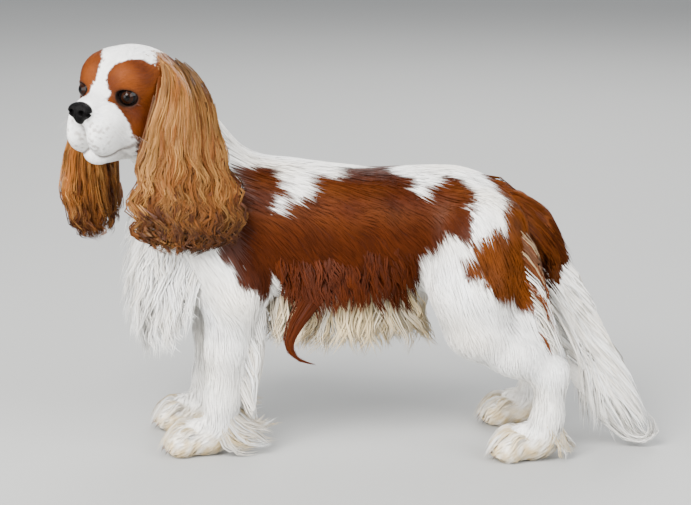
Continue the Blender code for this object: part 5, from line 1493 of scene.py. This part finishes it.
claw_points, claw_faces = [], []
for rows, side, x_shift, y in LEGS.values():
    for place in TOE_PLACES:
        toe_x = rows[-1][0] + x_shift - toe_reach(place)
        toe_y = side * y + TOE_GAP * place
        (back, high), (front, low) = CLAW_ROOT, CLAW_TIP
        points, faces = claw((toe_x - back, toe_y, high), (toe_x - front, toe_y, low), CLAW_RADIUS)
        claw_faces.append(faces + len(points) * len(claw_points))
        claw_points.append(points)
claw_points = np.concatenate(claw_points)
claws = add_piece("claws", claw_points, np.concatenate(claw_faces), claw_horn())
paint(claws, mix(CLAW_DARK, CLAW_PALE, ease(claw_points[:, 2], 0.002, 0.009)))


# Whiskers: a few fine, stiff ones on each lip, pale and swept back, each rooted in the skin.
WHISKERS = 26
WHISKER_WIDTH, WHISKER_TINT = 0.00028, (0.55, 0.50, 0.45)
random = np.random.default_rng(22)
side = np.where(np.arange(WHISKERS) % 2, 1.0, -1.0)
along, high = random.uniform(0.006, 0.030, WHISKERS), random.uniform(-0.042, -0.022, WHISKERS)
root = head_to_dog(np.stack([along, side * 0.030, high], 1))
for _ in range(6):
    root = root - outward(root) * read_hide(root)[:, None]
way = np.stack([random.uniform(-0.9, -0.1, WHISKERS), side, random.uniform(-0.8, 0.0, WHISKERS)], 1)
way = unit(way @ np.array(HEAD).T)
bend = np.linspace(0.0, 1.0, 6)[None, :, None]
reach = random.uniform(0.018, 0.034, (WHISKERS, 1, 1))
path = root[:, None] + way[:, None] * reach * bend + np.array((0.0, 0.0, -0.006)) * bend ** 2
level = np.broadcast_to(np.cross(way, (0.0, 0.0, 1.0))[:, None], path.shape)
taper = WHISKER_WIDTH * np.broadcast_to((1.0, 1.0, 0.9, 0.7, 0.5, 0.0), (WHISKERS, 6))
whisker_patch = np.stack([0.5 + 0.01 * np.arange(WHISKERS), np.full(WHISKERS, 0.5)], 1)
add_tufts("whiskers", path, level, np.broadcast_to((0.0, -0.7, 0.7), path.shape), taper,
          np.repeat(np.array([WHISKER_TINT]), WHISKERS, 0), whisker_patch,
          coat_materials["head_coat"])


# Floor, light and camera: a plain pale floor, large soft lights, and the photograph's angle from the dog's
# left.
def floor_material():
    """Plain pale matt floor with a barely uneven tone."""
    made, tree, shader = new_material("pale floor", Roughness=0.85)
    cloud = add_node(tree, "TexNoise", Vector=object_place(tree), Scale=1.5).outputs["Fac"]
    set_inputs(tree, shader, Base_Color=ramped(tree, cloud, (0.33, 0.33, 0.32), (0.35, 0.35, 0.34)))
    return made


floor_mesh = bpy.data.meshes.new("floor")
FLOOR_HALF = 8
corners = [(FLOOR_HALF * x, FLOOR_HALF * y, 0) for x, y in ((-1, -1), (1, -1), (1, 1), (-1, 1))]
floor_mesh.from_pydata(corners, [], [(0, 1, 2, 3)])
floor_mesh.materials.append(floor_material())
floor = bpy.data.objects.new("floor", floor_mesh)
bpy.context.scene.collection.objects.link(floor)


def area_light(name, place, size, power, colour, aim=(0.0, 0.0, 0.2)):
    """A square soft light at a place, turned to face a point."""
    light = bpy.data.lights.new(name, "AREA")
    light.size = size
    light.energy = power
    light.color = colour
    lamp = bpy.data.objects.new(name, light)
    lamp.location = place
    lamp.rotation_euler = (Vector(aim) - Vector(place)).to_track_quat("-Z", "Y").to_euler()
    bpy.context.scene.collection.objects.link(lamp)


# Each lamp's place, size, power and colour
LAMPS = {
    "key": ((-1.1, -1.9, 2.3), 1.6, 265, (1.0, 0.985, 0.96)),
    "fill": ((1.9, -1.5, 1.5), 1.8, 95, (0.97, 0.985, 1.0)),
    "back": ((0.4, 2.2, 2.0), 1.8, 80, (1.0, 1.0, 1.0)),
    "front": ((-2.0, -1.5, 0.7), 1.6, 75, (1.0, 1.0, 1.0)),
}
for name, lamp in LAMPS.items():
    area_light(name, *lamp)
world = bpy.data.worlds.new("studio")
world.use_nodes = True
world.node_tree.nodes["Background"].inputs["Color"].default_value = (0.92, 0.95, 1.0, 1.0)
world.node_tree.nodes["Background"].inputs["Strength"].default_value = 0.72
bpy.context.scene.world = world

# The camera looks down by this angle from this distance, and frames so many metres across the dog's own plane
CAMERA_DROP, CAMERA_FAR = math.radians(13.0), 2.4
AIM_AT = Vector((-0.0078, 0.0, 0.2033))
PICTURE_WIDTH, METRES_PER_PIXEL = 691, 1.04e-3
SENSOR = 36.0
lens = bpy.data.cameras.new("camera")
lens.sensor_width = SENSOR
lens.lens = SENSOR * (CAMERA_FAR / METRES_PER_PIXEL) / PICTURE_WIDTH
camera = bpy.data.objects.new("camera", lens)
sight = Vector((0.0, math.cos(CAMERA_DROP), -math.sin(CAMERA_DROP)))
camera.location = AIM_AT + Vector(SHIFT) - sight * CAMERA_FAR
camera.rotation_euler = sight.to_track_quat("-Z", "Y").to_euler()
bpy.context.scene.collection.objects.link(camera)
bpy.context.scene.camera = camera
